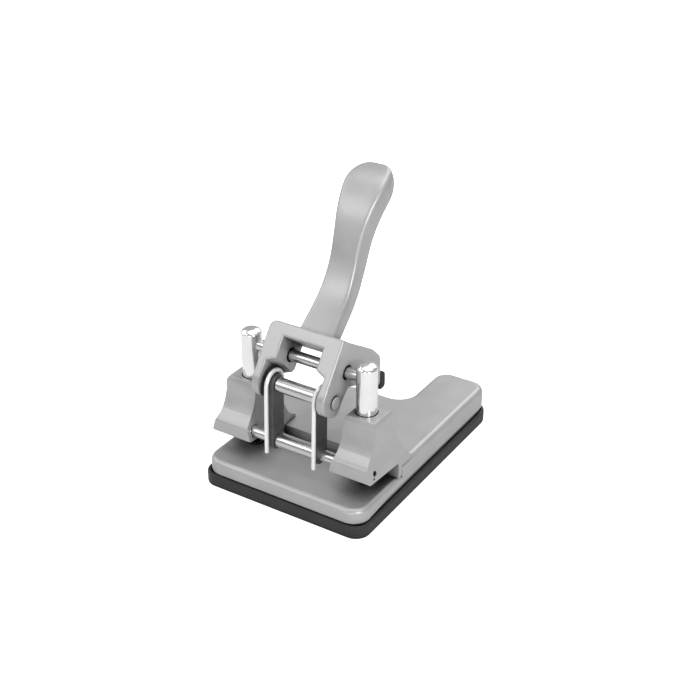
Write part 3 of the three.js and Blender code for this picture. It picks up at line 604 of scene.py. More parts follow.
# ---------------- base
@dataclass
class Base:
    """The casting with its plate, deck and tail, and the black chip tray round its foot."""

    corner_front: float = 11.0
    corner_tray: float = 9.6
    corner_rear: float = 10.0
    corner_cut: float = 12.0
    corner_tail: float = 12.0
    corner_arc: int = 12
    rear: float = 79.5
    cut: float = 37.0
    tail_width: float = 35.0
    plate_edge: float = 3.2
    deck_front: float = 15.2
    deck_edge: float = 4.0
    deck_sink: float = 0.5
    step_fillet: float = 1.6
    step_edge: float = 1.0
    step_least: float = 20.0
    foot_gap: float = 0.9
    gap_depth: float = 1.25
    gap_rise: float = 2.6
    gap_start: float = 5.0
    gap_run: float = 26.0
    gap_end: float = 150.0
    gap_below: float = 3.0
    tray_wall: float = 2.2
    tray_floor: float = 1.8
    tray_edge: float = 0.9
    rim_gap: float = 0.3
    rim_wall: float = 3.2
    plate_thick: float = 5.0
    deck_thick: float = 4.5
    chip_hole: float = 8.4
    rib_thick: float = 3.0
    rib_drop: float = 1.4
    rib_sink: float = 0.8
    rib_into_roof: float = 0.5
    rib_x: tuple[float, ...] = (-18.0, 18.0)
    rib_y: tuple[float, ...] = (34.0, 70.0)
    foot_pocket: float = 13.6
    half: float = field(init=False)
    front: float = field(init=False)
    tail_rear: float = field(init=False)
    tray_top: float = field(init=False)
    foot: float = field(init=False)
    margin: float = field(init=False)

    def __post_init__(self) -> None:
        """Reads the casting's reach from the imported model."""
        low, high = DATUM.span("base_casting")
        tray = DATUM.high("chip_tray")
        self.half, self.front, self.tail_rear = high.x, low.y, high.y
        self.tray_top, self.foot = tray.z, tray.z + self.foot_gap
        self.margin = tray.x - high.x

    def plan(self, inset: float, front_corner: float | None = None) -> list[Corner]:
        """Returns the base's outline seen from above.

        Args:
            inset: How far the outline is moved inwards.
            front_corner: Radius of the two front corners, if it isn't the casting's own less the inset.
        """
        ahead = self.corner_front - inset if front_corner is None else front_corner
        right = self.half - inset
        front = self.front + inset
        rear = self.rear - inset
        slant = inset * (2 - math.sqrt(2))
        tail = self.tail_rear - inset
        tail_left = self.half - self.tail_width + inset
        return [
            (-right, front, ahead),
            (right, front, ahead),
            (right, tail, self.corner_rear - inset),
            (tail_left, tail, self.corner_rear - inset),
            (tail_left, rear, self.corner_tail + inset),
            (-right + self.cut - slant, rear, self.corner_cut - inset),
            (-right, rear - self.cut + slant, self.corner_cut - inset),
        ]

    def slab(self, name: str, corners: Sequence[Corner], low: float, high: float) -> Piece:
        """Returns one of the base's outlines raised between two levels."""
        return BENCH.prism(name, corners, Plane.XY, low, high, self.corner_arc)

    def rounded_slab(self, name: str, low: float, high: float, edge: float) -> Piece:
        """Returns the casting's outline raised between two levels, its top edge rounded."""
        piece = self.slab(name, self.plan(0), low, high)
        BENCH.bevel(piece, lambda e: on(e, z=high), edge, 7)
        return piece

    def ahead_of(self, y: float) -> Piece:
        """Returns a tool that takes away all that is in front of a place."""
        return BENCH.box("ahead", (-FAR, -FAR, 0), (FAR, y, 60))

    def casting(self) -> Piece:
        """Returns the cast base."""
        plate, deck, step = DATUM.plate_top, DATUM.deck_top, self.deck_front
        piece = self.rounded_slab("base", self.foot, plate, self.plate_edge)
        upper = self.rounded_slab("deck", self.foot + self.deck_sink, deck, self.deck_edge)
        BENCH.combine(upper, "DIFFERENCE", self.ahead_of(step))
        BENCH.bevel(upper, lambda e: on(e, y=step, z=deck), self.step_edge)
        BENCH.combine(piece, "UNION", upper)
        BENCH.bevel(piece, lambda e: on(e, y=step, z=plate) and e.calc_length() > self.step_least * MM,
                    self.step_fillet)
        self.hollow_casting(piece)
        self.shade_gap(piece)
        return piece

    def hollow_casting(self, piece: Piece) -> None:
        """Sinks the hollow into the casting's underside, and adds its ribs and die seats."""
        foot = self.foot
        rim_inset = self.tray_wall - self.margin + self.rim_gap
        rim_drop = foot - DATUM.span("base_casting")[0].z
        roof, high_roof = DATUM.plate_top - self.plate_thick, DATUM.deck_top - self.deck_thick
        inset = rim_inset + self.rim_wall
        BENCH.pick_level(piece, foot, -1)
        BENCH.inset(rim_inset)
        BENCH.push((0.0, 0.0, -rim_drop * MM))
        BENCH.inset(self.rim_wall)
        BENCH.push((0.0, 0.0, (roof - foot + rim_drop) * MM))
        BENCH.settle()
        bay = self.slab("bay", self.plan(inset), roof - 1, high_roof)
        BENCH.combine(bay, "DIFFERENCE", self.ahead_of(self.deck_front + self.deck_thick))
        seats = [BENCH.rod("seat", "z", self.chip_hole, (DATUM.punch_x(side), 0, 0), 0, 30) for side in Side]
        BENCH.combine(piece, "DIFFERENCE", bay, *seats)
        low, half_rib = foot - self.rib_drop, self.rib_thick / 2
        high, high_rear = roof + self.rib_into_roof, high_roof + self.rib_into_roof
        reach = self.half - rim_inset - self.rim_wall + self.rib_sink
        front = self.front + rim_inset + self.rim_wall - self.rib_sink
        rear = self.rear - rim_inset - self.rim_wall + self.rib_sink
        ribs = [BENCH.box("rib", (x - half_rib, front, low), (x + half_rib, rear, high))
                for x in self.rib_x]
        for y in self.rib_y:
            left = max(-reach, y - (self.rear - self.cut) - self.half + inset)
            ribs.append(BENCH.box("rib", (left, y - half_rib, low), (reach, y + half_rib, high_rear)))
        BENCH.combine(piece, "UNION", *ribs)

    def shade_gap(self, piece: Piece) -> None:
        """Cuts the casting's sides back a little over the tray, from nothing at the front corners."""
        foot, start = self.foot, self.front + self.gap_start
        below, above = foot - self.gap_below, foot + self.gap_rise
        wedge = BENCH.prism("wedge", [
            (start, below, 0.0), (self.gap_end, below, 0.0), (self.gap_end, above, 0.0),
            (start + self.gap_run, above, 0.0), (start, foot, 0.0)], Plane.YZ, -FAR, FAR)
        BENCH.combine(wedge, "DIFFERENCE", self.slab("core", self.plan(self.gap_depth), foot - 4, foot + 6))
        BENCH.combine(piece, "DIFFERENCE", wedge)

    def tray(self) -> Piece:
        """Returns the chip tray."""
        top = self.tray_top
        piece = self.slab("tray", self.plan(-self.margin, self.corner_tray), 0.0, top)
        BENCH.bevel(piece, lambda e: on(e, z=0) or on(e, z=top), self.tray_edge, 4)
        BENCH.pick_level(piece, top, 1)
        BENCH.inset(self.tray_wall - self.tray_edge)
        BENCH.push((0.0, 0.0, (self.tray_floor - top) * MM))
        BENCH.settle()
        feet = [DATUM.centre(f"rubber_foot_{number}") for number in FOUR]
        BENCH.combine(piece, "DIFFERENCE", *[
            BENCH.rod("pocket", "z", self.foot_pocket, foot, -1, 1, steps=48) for foot in feet])
        return piece

    def build(self, dresser: Dresser) -> None:
        """Builds and dresses the casting and the tray."""
        dresser.place(self.casting(), Finish.CAST, "frame", "base_casting")
        dresser.place(self.tray(), Finish.TRAY, "chip_tray", "chip_tray")


# ---------------- punch heads
@dataclass
class Heads:
    """The two cast heads that guide the punches over the plate."""

    outward: float = 12.2
    inward: float = 9.0
    flare_out: float = 3.4
    flare_in: float = 2.7
    flare_top: float = 44.5
    flare_bottom: float = 34.0
    shoulder: float = 2.4
    shoulder_in: float = 1.2
    lip_front: float = 21.7
    lip_bottom: float = 31.8
    lip_top: float = 40.5
    waist_front: float = 10.5
    waist_bottom: float = 62.0
    arc_steps: int = 9
    lip_corner: float = 2.2
    roof_rear: float = 29.2
    rear_top: float = 8.6
    rear_middle: float = 11.8
    rear_middle_up: float = 55.5
    rear_bottom: float = 15.2
    foot_edge: float = 1.5
    foot_run: float = 3.0
    foot_up: float = 32.0
    paper_stop: float = 11.0
    deck_front: float = 15.2
    bore: float = 13.2
    bore_floor: float = 47.0
    bore_edge: float = 0.35
    bush_seat: float = 12.1
    rod_eye: float = 7.6
    rod_start: float = 10.0
    knock_out: float = 3.4
    dimple: float = 1.5
    dimple_ahead: float = 1.9
    dimple_drop: float = 2.5
    screw_hole: float = 5.6
    screw_top: float = 28.8
    gap: float = 0.3
    edge: float = 1.2
    low: Vector = field(init=False)
    high: Vector = field(init=False)

    def __post_init__(self) -> None:
        """Reads a head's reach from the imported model."""
        self.low, self.high = DATUM.span("left_punch_head")

    def side_outline(self) -> list[Corner]:
        """Returns the head's outline seen from the side, in (Y, Z)."""
        toe, top, rear = self.low.z, self.high.z, self.high.y
        foot = DATUM.deck_top + self.gap
        return [
            (-self.lip_front, self.lip_bottom, 1.2),
            (self.paper_stop, self.roof_rear, 2.0),
            (self.paper_stop, toe, 0.0),
            (self.deck_front - self.gap, toe, 0.0),
            (self.deck_front - self.gap, foot, 0.0),
            (rear, foot, 0.0),
            (rear, foot + self.foot_edge, 0.0),
            (self.rear_bottom + self.foot_run, self.foot_up, 8.0),
            (self.rear_bottom, self.flare_top, 12.0),
            (self.rear_middle, self.rear_middle_up, 14.0),
            (self.rear_top, top - self.shoulder, 1.0),
            (self.rear_top - self.shoulder_in, top, 0.6),
            (-self.waist_front + self.shoulder_in, top, 0.6),
            (-self.waist_front, top - self.shoulder, 1.5),
            *self.front_arc(),
        ]

    def front_arc(self) -> list[Corner]:
        """Returns the hollow front: an arc that leaves the upright upper part and runs out to the lip."""
        fall = self.waist_bottom - self.lip_top
        sweep = 2 * math.atan2(self.lip_front - self.waist_front, fall)
        radius = fall / math.sin(sweep)
        angles = [sweep * step / self.arc_steps for step in range(self.arc_steps + 1)]
        return [(-self.waist_front - radius * (1 - math.cos(angle)),
                 self.waist_bottom - radius * math.sin(angle),
                 self.lip_corner if angle == angles[-1] else 0.0) for angle in angles]

    def front_outline(self, side: Side) -> list[Corner]:
        """Returns the head's outline seen from the front, in (X, Z)."""
        top = self.high.z
        outer, inner = (
            [(wall + flare, 0.0, 0.0), (wall + flare, self.flare_bottom, 4.0), (wall, self.flare_top, 16.0),
             (wall, top - self.shoulder, 1.0), (wall - math.copysign(self.shoulder_in, wall), top, 0.6)]
            for wall, flare in ((self.outward, self.flare_out), (-self.inward, -self.flare_in)))
        corners = (inner[0], *outer, *reversed(inner[1:]))
        return [(DATUM.punch_x(side) + side.value * x, z, radius) for x, z, radius in corners]

    def head(self, side: Side) -> Piece:
        """Returns one head."""
        s, x = side.value, DATUM.punch_x(side)
        tie = DATUM.centre("tie_rod")
        piece = BENCH.prism(f"{side.label}_head", self.side_outline(), Plane.YZ, x - 30, x + 30, arc=10)
        BENCH.combine(piece, "INTERSECT",
                      BENCH.prism("cross", self.front_outline(side), Plane.XZ, -60, 60, arc=10))
        BENCH.soften(piece, self.edge)
        rod_span = sorted((s * self.rod_start, s * (abs(DATUM.high("tie_rod").x) + self.gap)))
        pin_span = sorted((x, x + s * 30.0))
        spot = (0, tie.y - self.dimple_ahead, tie.z - self.dimple_drop)
        screws = [DATUM.centre(f"head_bolt_{number}") for number in FOUR]
        BENCH.combine(
            piece, "DIFFERENCE",
            BENCH.rod("bore", "z", self.bore, (x, 0, 0), self.bore_floor, 100, steps=96),
            BENCH.rod("seat", "z", self.bush_seat, (x, 0, 0), 0, self.bore_floor + 1),
            BENCH.rod("eye", "x", self.rod_eye, tie, *rod_span),
            BENCH.rod("pin", "x", self.knock_out, tie, *pin_span, steps=32),
            BENCH.rod("dimple", "x", self.dimple, spot, *pin_span, steps=24),
            *[BENCH.rod("blind", "z", self.screw_hole, place, 0, self.screw_top) for place in screws])
        rim = Vector((x, 0.0, self.high.z))
        BENCH.bevel(piece, lambda e: abs(((e.verts[0].co + e.verts[1].co) / 2 / MM - rim).length
                                         - self.bore / 2) < 0.1, self.bore_edge, 2)
        return piece

    def build(self, dresser: Dresser) -> None:
        """Builds and dresses both heads."""
        for side in Side:
            dresser.place(self.head(side), Finish.CAST, "frame", f"{side.label}_punch_head")


# ---------------- plungers and drive rod
@dataclass
class Plungers:
    """The round plungers and the rod that drives them both."""

    dome: float = 3.1
    chamfer: float = 0.8
    dome_steps: int = 24
    dome_ease: float = 0.25

    def plunger(self, side: Side) -> Piece:
        """Returns one plunger: a disc drawn up into a bar with a chamfered foot and a low dome."""
        low, high = DATUM.span(f"{side.label}_plunger")
        x = DATUM.punch_x(side) * MM
        radius = (high.y - low.y) / 2
        levels = [(radius, low.z + self.chamfer), (radius, high.z - self.dome)]
        for step in range(1, self.dome_steps + 1):
            angle = math.pi / 2 * step / (self.dome_steps + self.dome_ease)
            levels.append((radius * math.cos(angle), high.z - self.dome * (1 - math.sin(angle))))
        before = (radius - self.chamfer, low.z)
        piece = BENCH.disc(f"{side.label}_post", 96, before[0], (x, 0.0, low.z * MM))
        for reach, level in levels:
            BENCH.push((0.0, 0.0, (level - before[1]) * MM))
            grow = reach / before[0]
            bpy.ops.transform.resize(value=(grow, grow, 1.0), center_override=(x, 0.0, level * MM))
            before = (reach, level)
        BENCH.close()
        return piece

    def build(self, dresser: Dresser) -> None:
        """Builds and dresses the plungers and their rod."""
        for side in Side:
            dresser.place(self.plunger(side), Finish.CHROME, "plungers", f"{side.label}_plunger")
        dresser.place(BENCH.bar("drive_bar", "drive_rod"), Finish.BRIGHT, "plungers", "drive_rod")


# ---------------- links, rods and springs
@dataclass
class Linkage:
    """The flat links, the rods and sleeves that they turn on, and the wire springs."""

    half_depth: float = 5.75
    link_edge: float = 0.35
    round_share: float = 0.995
    pin: float = 6.0
    rivet: float = 8.0
    rivet_high: float = 1.2
    rivet_edge: float = 0.85
    wire: float = 2.5
    leg_steps: int = 8
    loop_steps: int = 22
    tail: float = 5.0
    bend_front: float = 6.0
    bend_rear: float = 8.0
    tie: Vector = field(init=False)
    pivot: Vector = field(init=False)
    along: Vector = field(init=False)

    def __post_init__(self) -> None:
        """Reads the line from the tie rod to the pivot."""
        self.tie, self.pivot = DATUM.centre("tie_rod"), DATUM.centre("pivot_sleeve")
        self.along = Vector((0.0, self.pivot.y - self.tie.y, self.pivot.z - self.tie.z)).normalized()

    def link(self, side: Side) -> Piece:
        """Returns one link: a flat bar with round ends and two eyes."""
        low, high = DATUM.span(f"{side.label}_link")
        along = self.along.yz
        across = Vector((along.y, -along.x)) * self.half_depth
        foot = self.tie.yz - along * self.half_depth
        head = self.pivot.yz + along * self.half_depth
        radius = self.half_depth * self.round_share
        corners = [(*place, radius) for place in (foot + across, head + across, head - across, foot - across)]
        piece = BENCH.prism(f"{side.label}_bar", corners, Plane.YZ, low.x, high.x, arc=14)
        BENCH.soften(piece, self.link_edge, 40, 2)
        return piece

    def pivot_pin(self) -> Piece:
        """Returns the pivot pin with its two domed rivet heads."""
        low, high = (corner.x for corner in DATUM.span("pivot_pin"))
        piece = BENCH.rod("pin", "x", self.pin, self.pivot, low, high, edge=0.4)
        BENCH.combine(piece, "UNION", *[
            BENCH.rod("rivet", "x", self.rivet, self.pivot, *span, edge=self.rivet_edge, steps=48)
            for span in ((low, low + self.rivet_high), (high - self.rivet_high, high))])
        return piece

    def spring(self, side: Side) -> Piece:
        """Returns one return spring: a ring of wire drawn up the leg, round the eye and down the tail."""
        low, high = DATUM.span(f"{side.label}_return_spring")
        along = self.along
        back = Vector((0.0, along.z, -along.y))
        loop = high.z - self.pivot.z - self.wire / 2
        eye = Vector(((low.x + high.x) / 2, self.pivot.y, self.pivot.z))
        leg = eye.z - low.z
        piece = BENCH.disc(f"{side.label}_spring", 16, self.wire / 2,
                           (eye - back * loop - along * leg) * MM, -math.atan2(along.y, along.z))
        for _ in range(self.leg_steps):
            BENCH.push(along * leg / self.leg_steps * MM)
        bpy.ops.mesh.spin(steps=self.loop_steps, angle=math.pi, center=eye * MM, axis=(1.0, 0.0, 0.0))
        BENCH.push(along * -self.tail * MM)
        bpy.ops.mesh.select_all(action="SELECT")
        bpy.ops.mesh.remove_doubles(threshold=WELD / 2 * MM)
        BENCH.close()
        return piece

    def build(self, dresser: Dresser) -> None:
        """Builds and dresses the links, rods, sleeves, pin and springs."""
        for side in Side:
            dresser.place(self.link(side), Finish.DARK, "links", f"{side.label}_link")
            spring = self.spring(side)
            dresser.dress(spring, Finish.WIRE, 60)
            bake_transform(spring)
            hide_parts(f"{side.label}_return_spring")
        for name, node, body in (("tie_bar", "tie_rod", "frame"), ("tie_sleeve", "tie_rod_sleeve", "frame"),
                                 ("pivot_tube", "pivot_sleeve", "links")):
            dresser.place(BENCH.bar(name, node), Finish.BRIGHT, body, node)
        dresser.place(self.pivot_pin(), Finish.CAST, "lever", "pivot_pin")


# ---------------- lever
@dataclass(frozen=True)
class Station:
    """One section of the handle."""

    y: float
    z: float
    width: float
    thick: float


# the share of each of four stations in a curve between the middle two, by powers of the place between
CATMULL_ROM = ((0, -0.5, 1, -0.5), (1, 0, -2.5, 1.5), (0, 0.5, 2, -1.5), (0, 0, -0.5, 0.5))


@dataclass
class Lever:
    """The cast fork, its heel and the long handle."""

    lean: float = 53.87
    half_width: float = 25.0
    half_gap: float = 13.5
    front: float = 12.2
    back: float = 12.6
    top: float = 34.8
    bar_front: float = 7.8
    bar_rear: float = 9.3
    cheek_end: float = 9.2
    link_gap: float = 3.0
    recess_in: float = 5.0
    recess_front: float = 14.3
    recess_fall_back: float = 0.216
    recess_fall_out: float = 0.45
    heel_thick: float = 8.0
    heel_rear: float = 37.6
    heel_bottom: float = 58.5
    heel_reach: float = 23.6
    heel_rise: float = 13.0
    heel_back: float = 21.5
    heel_top: float = 29.5
    heel_top_in: float = 8.2
    rod_eye: float = 9.1
    pin_hole: float = 6.6
    buffer_corner: float = 2.4
    buffer_stem: float = 4.0
    buffer_rise: float = 7.4
    buffer_gap: float = 0.3
    buffer_edge: float = 0.8
    crown_depth: float = 6.0
    corner_left: float = 4.6
    edge: float = 1.3
    edge_inside: float = 0.6
    handle_corner: float = 3.4
    stations: tuple[Station, ...] = (
        Station(4.0, 95.5, 25.0, 10.0),
        Station(12.0, 101.2, 24.0, 11.6),
        Station(29.6, 116.4, 21.8, 12.8),
        Station(39.8, 132.6, 20.6, 13.6),
        Station(46.0, 147.8, 21.6, 15.0),
        Station(53.2, 161.8, 25.8, 15.8),
        Station(64.0, 174.0, 30.2, 14.6),
        Station(75.9, 182.5, 30.6, 11.0),
    )
    rings: int = 30
    tip: float = 0.19
    tip_least: float = 0.012
    tip_flat: float = 0.35
    x: float = field(init=False)
    pivot: Vector = field(init=False)
    cos: float = field(init=False)
    sin: float = field(init=False)

    def __post_init__(self) -> None:
        """Reads the pivot's place and works out the lean."""
        self.pivot = DATUM.centre("pivot_sleeve")
        self.x = self.pivot.x
        self.cos, self.sin = math.cos(math.radians(self.lean)), math.sin(math.radians(self.lean))

    def on_yoke(self, up: float, back: float) -> tuple[float, float]:
        """Returns (Y, Z) of a place up the lean from the pivot and back from it."""
        return (self.pivot.y + up * self.cos + back * self.sin,
                self.pivot.z + up * self.sin - back * self.cos)

    def off_yoke(self, vert: Vert) -> tuple[float, float]:
        """Returns how far up the lean from the pivot a vertex is, and how far back."""
        y, z = vert.co.y / MM - self.pivot.y, vert.co.z / MM - self.pivot.z
        return y * self.cos + z * self.sin, y * self.sin - z * self.cos

    def side_outline(self) -> list[Corner]:
        """Returns the fork with its heel, seen from the side, in (Y, Z)."""
        return [
            (*self.on_yoke(-self.cheek_end, -self.front), 10.5),
            (*self.on_yoke(-self.cheek_end, self.cheek_end), 9.0),
            (*self.on_yoke(2.0, self.cheek_end), 4.0),
            (*self.on_yoke(10.6, self.back - 1.5), 3.0),
            (self.heel_rear - self.heel_reach, self.heel_bottom + self.heel_rise, 12.0),
            (self.heel_rear, self.heel_bottom, 3.0),
            (self.heel_rear, self.heel_bottom + self.heel_back, 5.0),
            (self.heel_rear - self.heel_top_in, self.heel_bottom + self.heel_top, 8.0),
            (*self.on_yoke(self.top, 1.0), 12.0),
            (*self.on_yoke(self.top, -self.front), 0.0),
        ]

    def cutter(self, name: str, low: float, high: float, *places: tuple[float, float]) -> Piece:
        """Returns a tool with sharp corners at places on the yoke, between two places across it."""
        return BENCH.prism(name, [(*self.on_yoke(*place), 0.0) for place in places], Plane.YZ, low, high)

    def recess(self, side: Side) -> Piece:
        """Returns the space cut from a cheek beside its link; its roof falls backwards and outwards."""
        far = 40.0
        inner = self.half_gap - self.recess_in
        outer = DATUM.high("right_link").x - self.x + self.link_gap
        rise = self.recess_front + self.recess_fall_back * (far - self.front)
        corners = [(self.x + side.value * across, up, 0.0) for across, up in (
            (inner, -far), (outer, -far),
            (outer, rise - self.recess_fall_out * (outer - self.half_gap)),
            (inner, rise - self.recess_fall_out * (inner - self.half_gap)))]
        piece = BENCH.prism("recess", corners, Plane.XY, -far, far)
        BENCH.edit(piece)
        BENCH.pick(piece, Kind.VERT, lambda v: v.co.z < 0 and v.co.y > 0)
        bpy.ops.transform.translate(value=(0.0, -2 * far * self.recess_fall_back * MM, 0.0))
        BENCH.settle()
        piece.matrix_world = Matrix((
            (1.0, 0.0, 0.0, 0.0),
            (0.0, self.cos, -self.sin, self.pivot.y * MM),
            (0.0, self.sin, self.cos, self.pivot.z * MM),
            (0.0, 0.0, 0.0, 1.0),
        ))
        BENCH.freeze(piece)
        return piece

    def fork(self) -> Piece:
        """Returns the fork with its window, recesses and heel."""
        left, right = self.x - self.half_width, self.x + self.half_width
        piece = BENCH.prism("lever_arm", self.side_outline(), Plane.YZ, left, right, arc=10)
        under_front, under_rear = self.top - self.bar_front, self.top - self.bar_rear
        window = self.cutter(
            "window", self.x - self.half_gap, self.x + self.half_gap, (-40, -40), (-40, 60),
            (under_rear - 2, 60), (under_rear, self.back), (under_front, -self.front), (under_front, -40))
        behind = self.cutter("behind", left - 10, right - self.heel_thick,
                             (5, self.back), (5, 80), (60, 80), (60, self.back))
        BENCH.combine(piece, "DIFFERENCE", window, behind, *[self.recess(side) for side in Side])
        BENCH.bevel(piece, lambda e: self.crowns(e, left), self.corner_left, 8)
        BENCH.bevel(piece, lambda e: self.shows(e, left, right), self.edge, 4)
        BENCH.soften(piece, self.edge_inside, 30, 4)
        BENCH.combine(
            piece, "DIFFERENCE",
            BENCH.rod("eye", "x", self.rod_eye, DATUM.centre("drive_rod"), left - 9, right + 9),
            BENCH.rod("hole", "x", self.pin_hole, self.pivot, left - 9, right + 9),
            self.stem(self.buffer_stem + 2 * self.buffer_gap, self.buffer_gap))
        return piece

    def crowns(self, edge: Edge, side: float) -> bool:
        """Tests for an edge along the top of one outer side of the yoke."""
        (first_up, first_back), (last_up, last_back) = (self.off_yoke(vert) for vert in edge.verts)
        return (on(edge, x=side) and min(first_up, last_up) > self.top - self.crown_depth
                and abs(first_back - last_back) > 0.1)

    def shows(self, edge: Edge, left: float, right: float) -> bool:
        """Tests for a sharp edge round the yoke's front or round an outer side."""
        ahead = all(abs(self.off_yoke(vert)[1] + self.front) < SLACK for vert in edge.verts)
        beside = on(edge, x=left) or on(edge, x=right)
        return (ahead or beside) and len(edge.link_faces) == 2 and edge.calc_face_angle(0.0) > 0.5

    def stem(self, diameter: float, extra: float) -> Piece:
        """Returns the peg of the buffer, or with extra size the hole for it."""
        low, high = DATUM.span("lever_buffer")
        place = ((low.x + high.x) / 2, 0.0, low.z + self.buffer_rise)
        return BENCH.rod("stem", "y", diameter, place, low.y - extra, self.heel_rear + 1.0, steps=32)

    def buffer(self) -> Piece:
        """Returns the rubber block that is pushed into the heel's rear edge."""
        low, high = DATUM.span("lever_buffer")
        front = self.heel_rear + self.buffer_gap
        corners = [(front, low.z, 1.0), (high.y, low.z, self.buffer_corner),
                   (high.y, high.z, self.buffer_corner), (front, high.z, 1.0)]
        piece = BENCH.prism("buffer", corners, Plane.YZ, low.x, high.x)
        BENCH.soften(piece, self.buffer_edge, 50, 4)
        BENCH.combine(piece, "UNION", self.stem(self.buffer_stem, 0.0))
        return piece

    def along(self, t: float) -> tuple[Station, float]:
        """Returns the handle's section at a share t of its length, and its slope in radians."""
        last = len(self.stations) - 1
        index = min(int(t * last), last - 1)
        part = t * last - index
        four = [self.stations[min(max(index + step, 0), last)] for step in (-1, 0, 1, 2)]
        weights = [sum(c * part ** n for n, c in enumerate(row)) for row in CATMULL_ROM]
        slopes = [sum(n * c * part ** (n - 1) for n, c in enumerate(row) if n) for row in CATMULL_ROM]
        values = [sum(w * getattr(s, key) for w, s in zip(weights, four))
                  for key in ("y", "z", "width", "thick")]
        run, rise = (sum(w * getattr(s, key) for w, s in zip(slopes, four)) for key in ("y", "z"))
        return Station(*values), math.atan2(rise, run)

    def handle(self) -> Piece:
        """Returns the handle: a rounded section drawn up in rings, which are then turned into the curve."""
        first, slope = self.along(0.0)
        half_w, half_t = first.width / 2, first.thick / 2
        corners = [(x, y, self.handle_corner) for x, y in (
            (-half_w, -half_t), (half_w, -half_t), (half_w, half_t), (-half_w, half_t))]
        piece = BENCH.outline("handle", corners, Plane.XY, 0.0, arc=4)
        BENCH.edit(piece, Kind.FACE, "SELECT")
        before = (1.0, 1.0)
        places = [(first, slope)]
        for ring in range(1, self.rings):
            t = math.sin(math.pi / 2 * ring / (self.rings - 1))
            section, slope = self.along(t)
            to_end = min(1.0, (1 - t) / self.tip)
            round_off = math.sqrt(max(self.tip_least, 1 - (1 - to_end) ** 2))
            wide = section.width / first.width * round_off
            thick = section.thick / first.thick * (self.tip_flat + (1 - self.tip_flat) * round_off)
            thick *= math.sqrt(round_off) if to_end < 1 else 1.0
            BENCH.push((0.0, 0.0, MM))
            bpy.ops.transform.resize(value=(wide / before[0], thick / before[1], 1.0),
                                     center_override=(0.0, 0.0, ring * MM))
            before = (wide, thick)
            places.append((section, slope))
        BENCH.close()
        self.curve_rings(piece, places)
        BENCH.modify(piece, "SUBSURF", levels=2, render_levels=2)
        return piece

    def curve_rings(self, piece: Piece, places: Sequence[tuple[Station, float]]) -> None:
        """Turns and moves each ring of the straight handle to its place on the curve.

        Args:
            piece: The handle, with its rings a millimetre apart from Z 0 up.
            places: Each ring's section and slope.
        """
        levels = [round(vert.co.z / MM) for vert in piece.data.vertices]
        BENCH.edit(piece)
        for ring, (section, slope) in enumerate(places):
            BENCH.pick(piece, Kind.VERT, lambda vert: levels[vert.index] == ring)
            bpy.ops.transform.rotate(value=math.pi / 2 - slope, orient_axis="X",
                                     center_override=(0.0, 0.0, ring * MM))
            bpy.ops.transform.translate(value=(self.x * MM, section.y * MM, (section.z - ring) * MM))
        BENCH.settle()

    def build(self, dresser: Dresser) -> None:
        """Builds and dresses the lever and its buffer."""
        piece = self.fork()
        BENCH.combine(piece, "UNION", self.handle())
        dresser.place(piece, Finish.CAST, "lever", "lever")
        dresser.place(self.buffer(), Finish.RUBBER, "lever", "lever_buffer")


# ---------------- small hidden parts
@dataclass
class Hidden:
    """The screws under the deck, and the small parts that need only their finish."""

    shank: float = 5.0
    shank_top: float = 28.2
    cap_height: float = 3.2
    socket: float = 4.6
    socket_depth: float = 2.0

    def screw(self, number: int) -> Piece:
        """Returns one cap screw that holds a head from below."""
        low, high = DATUM.span(f"head_bolt_{number}")
        centre = (low + high) / 2
        piece = BENCH.rod(f"head_screw_{number}", "z", high.x - low.x, centre, low.z,
                          low.z + self.cap_height, edge=0.5, steps=48)
        BENCH.combine(piece, "UNION", BENCH.rod("shank", "z", self.shank, centre, low.z + 1.0, self.shank_top,
                                                edge=0.4, steps=32))
        BENCH.combine(piece, "DIFFERENCE", BENCH.rod("key", "z", self.socket, centre, low.z - 1.0,
                                                     low.z + self.socket_depth, steps=6))
        return piece

    def build(self, dresser: Dresser) -> None:
        """Builds the screws and dresses the dies, bushes, punch pins and feet."""
        finishes = {"die": Finish.BRIGHT, "guide_bush": Finish.BRONZE, "punch_pin": Finish.BRIGHT}
        for side in Side:
            for part, finish in finishes.items():
                dresser.coat(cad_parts[f"{side.label}_{part}"], finish)
        for number in FOUR:
            dresser.place(self.screw(number), Finish.DARK, "frame", f"head_bolt_{number}")
            dresser.coat(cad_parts[f"rubber_foot_{number}"], Finish.RUBBER)


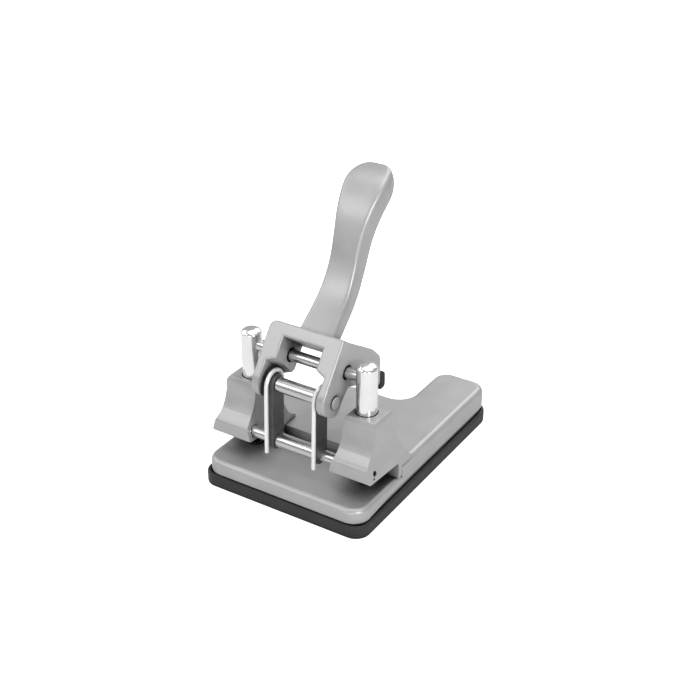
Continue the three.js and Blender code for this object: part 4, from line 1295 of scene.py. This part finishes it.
# ---------------- studio
@dataclass
class Studio:
    """The pale floor, the soft light and the camera."""

    aim: Place = (24.6, 6.5, 97.9)
    distance: float = 720.0
    azimuth: float = 32.22
    elevation: float = 29.24
    lens: float = 65.22
    sensor: float = 36.0
    lit: Place = (0.0, 0.0, 0.08)
    white: tuple[float, ...] = (1.0, 1.0, 1.0, 1.0)
    floor_white: tuple[float, ...] = (0.9, 0.9, 0.9, 1.0)
    floor_lift: float = 0.92
    world_level: float = 0.03
    mirror_level: float = 0.42

    def floor(self) -> None:
        """Lays the floor."""
        BENCH.settle()
        bpy.ops.mesh.primitive_plane_add(size=8.0, location=(0.0, 0.0, -0.0002))
        floor = bpy.context.active_object
        floor.name = "floor"
        floor.data.materials.append(self.paper())

    def paper(self) -> bpy.types.Material:
        """Returns the floor's white: matt to the light, lifted to full white where the camera sees it."""
        graph = Graph(bpy.data.materials.new("floor_paper"))
        matt = {"Base Color": self.floor_white, "Roughness": 0.9, "Specular IOR Level": 0.1}
        lifted = dict(matt, **{"Emission Color": self.white, "Emission Strength": self.floor_lift})
        shaders = [graph.node("ShaderNodeBsdfPrincipled", inputs).outputs[0] for inputs in (matt, lifted)]
        seen = graph.node("ShaderNodeLightPath").outputs["Is Camera Ray"]
        return graph.end(graph.node("ShaderNodeMixShader", {0: seen, 1: shaders[0], 2: shaders[1]}))

    def world(self) -> None:
        """Sets the surroundings: white to the eye, softer in reflections and faint as light."""
        graph = Graph(bpy.data.worlds.new("studio"))
        rays = graph.node("ShaderNodeLightPath").outputs
        mirrored = graph.node("ShaderNodeMapRange", {
            "Value": rays["Is Glossy Ray"], "To Min": self.world_level, "To Max": self.mirror_level})
        level = graph.node("ShaderNodeMath", {0: rays["Is Camera Ray"], 1: mirrored.outputs[0]},
                           operation="MAXIMUM")
        background = graph.node("ShaderNodeBackground", {"Color": self.white, "Strength": level.outputs[0]})
        bpy.context.scene.world = graph.end(background, "ShaderNodeOutputWorld")

    def stand(self, data: bpy.types.ID, place: Vector, look: Vector) -> Piece:
        """Stands a lamp or a camera at a place, looking along a direction."""
        made = bpy.data.objects.new(data.name, data)
        made.location = place
        made.rotation_euler = look.to_track_quat("-Z", "Y").to_euler()
        bpy.context.scene.collection.objects.link(made)
        return made

    def lamp(self, name: str, place: Place, size: float, power: float) -> None:
        """Adds a square soft lamp that looks at the punch, all in metres and watts."""
        data = bpy.data.lights.new(name, "AREA")
        data.size = size
        data.energy = power
        self.stand(data, Vector(place), Vector(self.lit) - Vector(place))

    def camera(self) -> None:
        """Adds the camera and makes it the scene's."""
        data = bpy.data.cameras.new("camera")
        data.lens = self.lens
        data.sensor_width = self.sensor
        turn, rise = math.radians(self.azimuth), math.radians(self.elevation)
        back = Vector((math.sin(turn) * math.cos(rise), -math.cos(turn) * math.cos(rise), math.sin(rise)))
        place = Vector(self.aim) * MM + back * self.distance * MM
        bpy.context.scene.camera = self.stand(data, place, -back)

    def build(self) -> None:
        """Sets up the studio."""
        self.floor()
        self.world()
        self.lamp("front_box", (-0.60, -0.90, 0.92), 0.45, 2.4)
        self.lamp("edge_box", (0.95, -0.60, 0.55), 0.25, 6.0)
        self.lamp("top_box", (0.1, 0.2, 1.5), 1.4, 13.5)
        self.lamp("low_box", (0.3, -1.2, 0.25), 0.5, 2.2)
        self.lamp("left_box", (-1.2, -0.2, 0.8), 1.2, 6.0)
        self.lamp("rear_box", (0.0, 1.3, 1.0), 0.9, 6.0)
        self.camera()
        bpy.context.scene.view_settings.view_transform = "Standard"


def main() -> None:
    """Builds the punch and its studio."""
    logging.basicConfig(level=logging.INFO, format="%(name)s: %(message)s")
    dresser = Dresser()
    for maker in (Base(), Heads(), Plungers(), Linkage(), Lever(), Hidden()):
        maker.build(dresser)
    Studio().build()


if __name__ == "__main__":
    main()
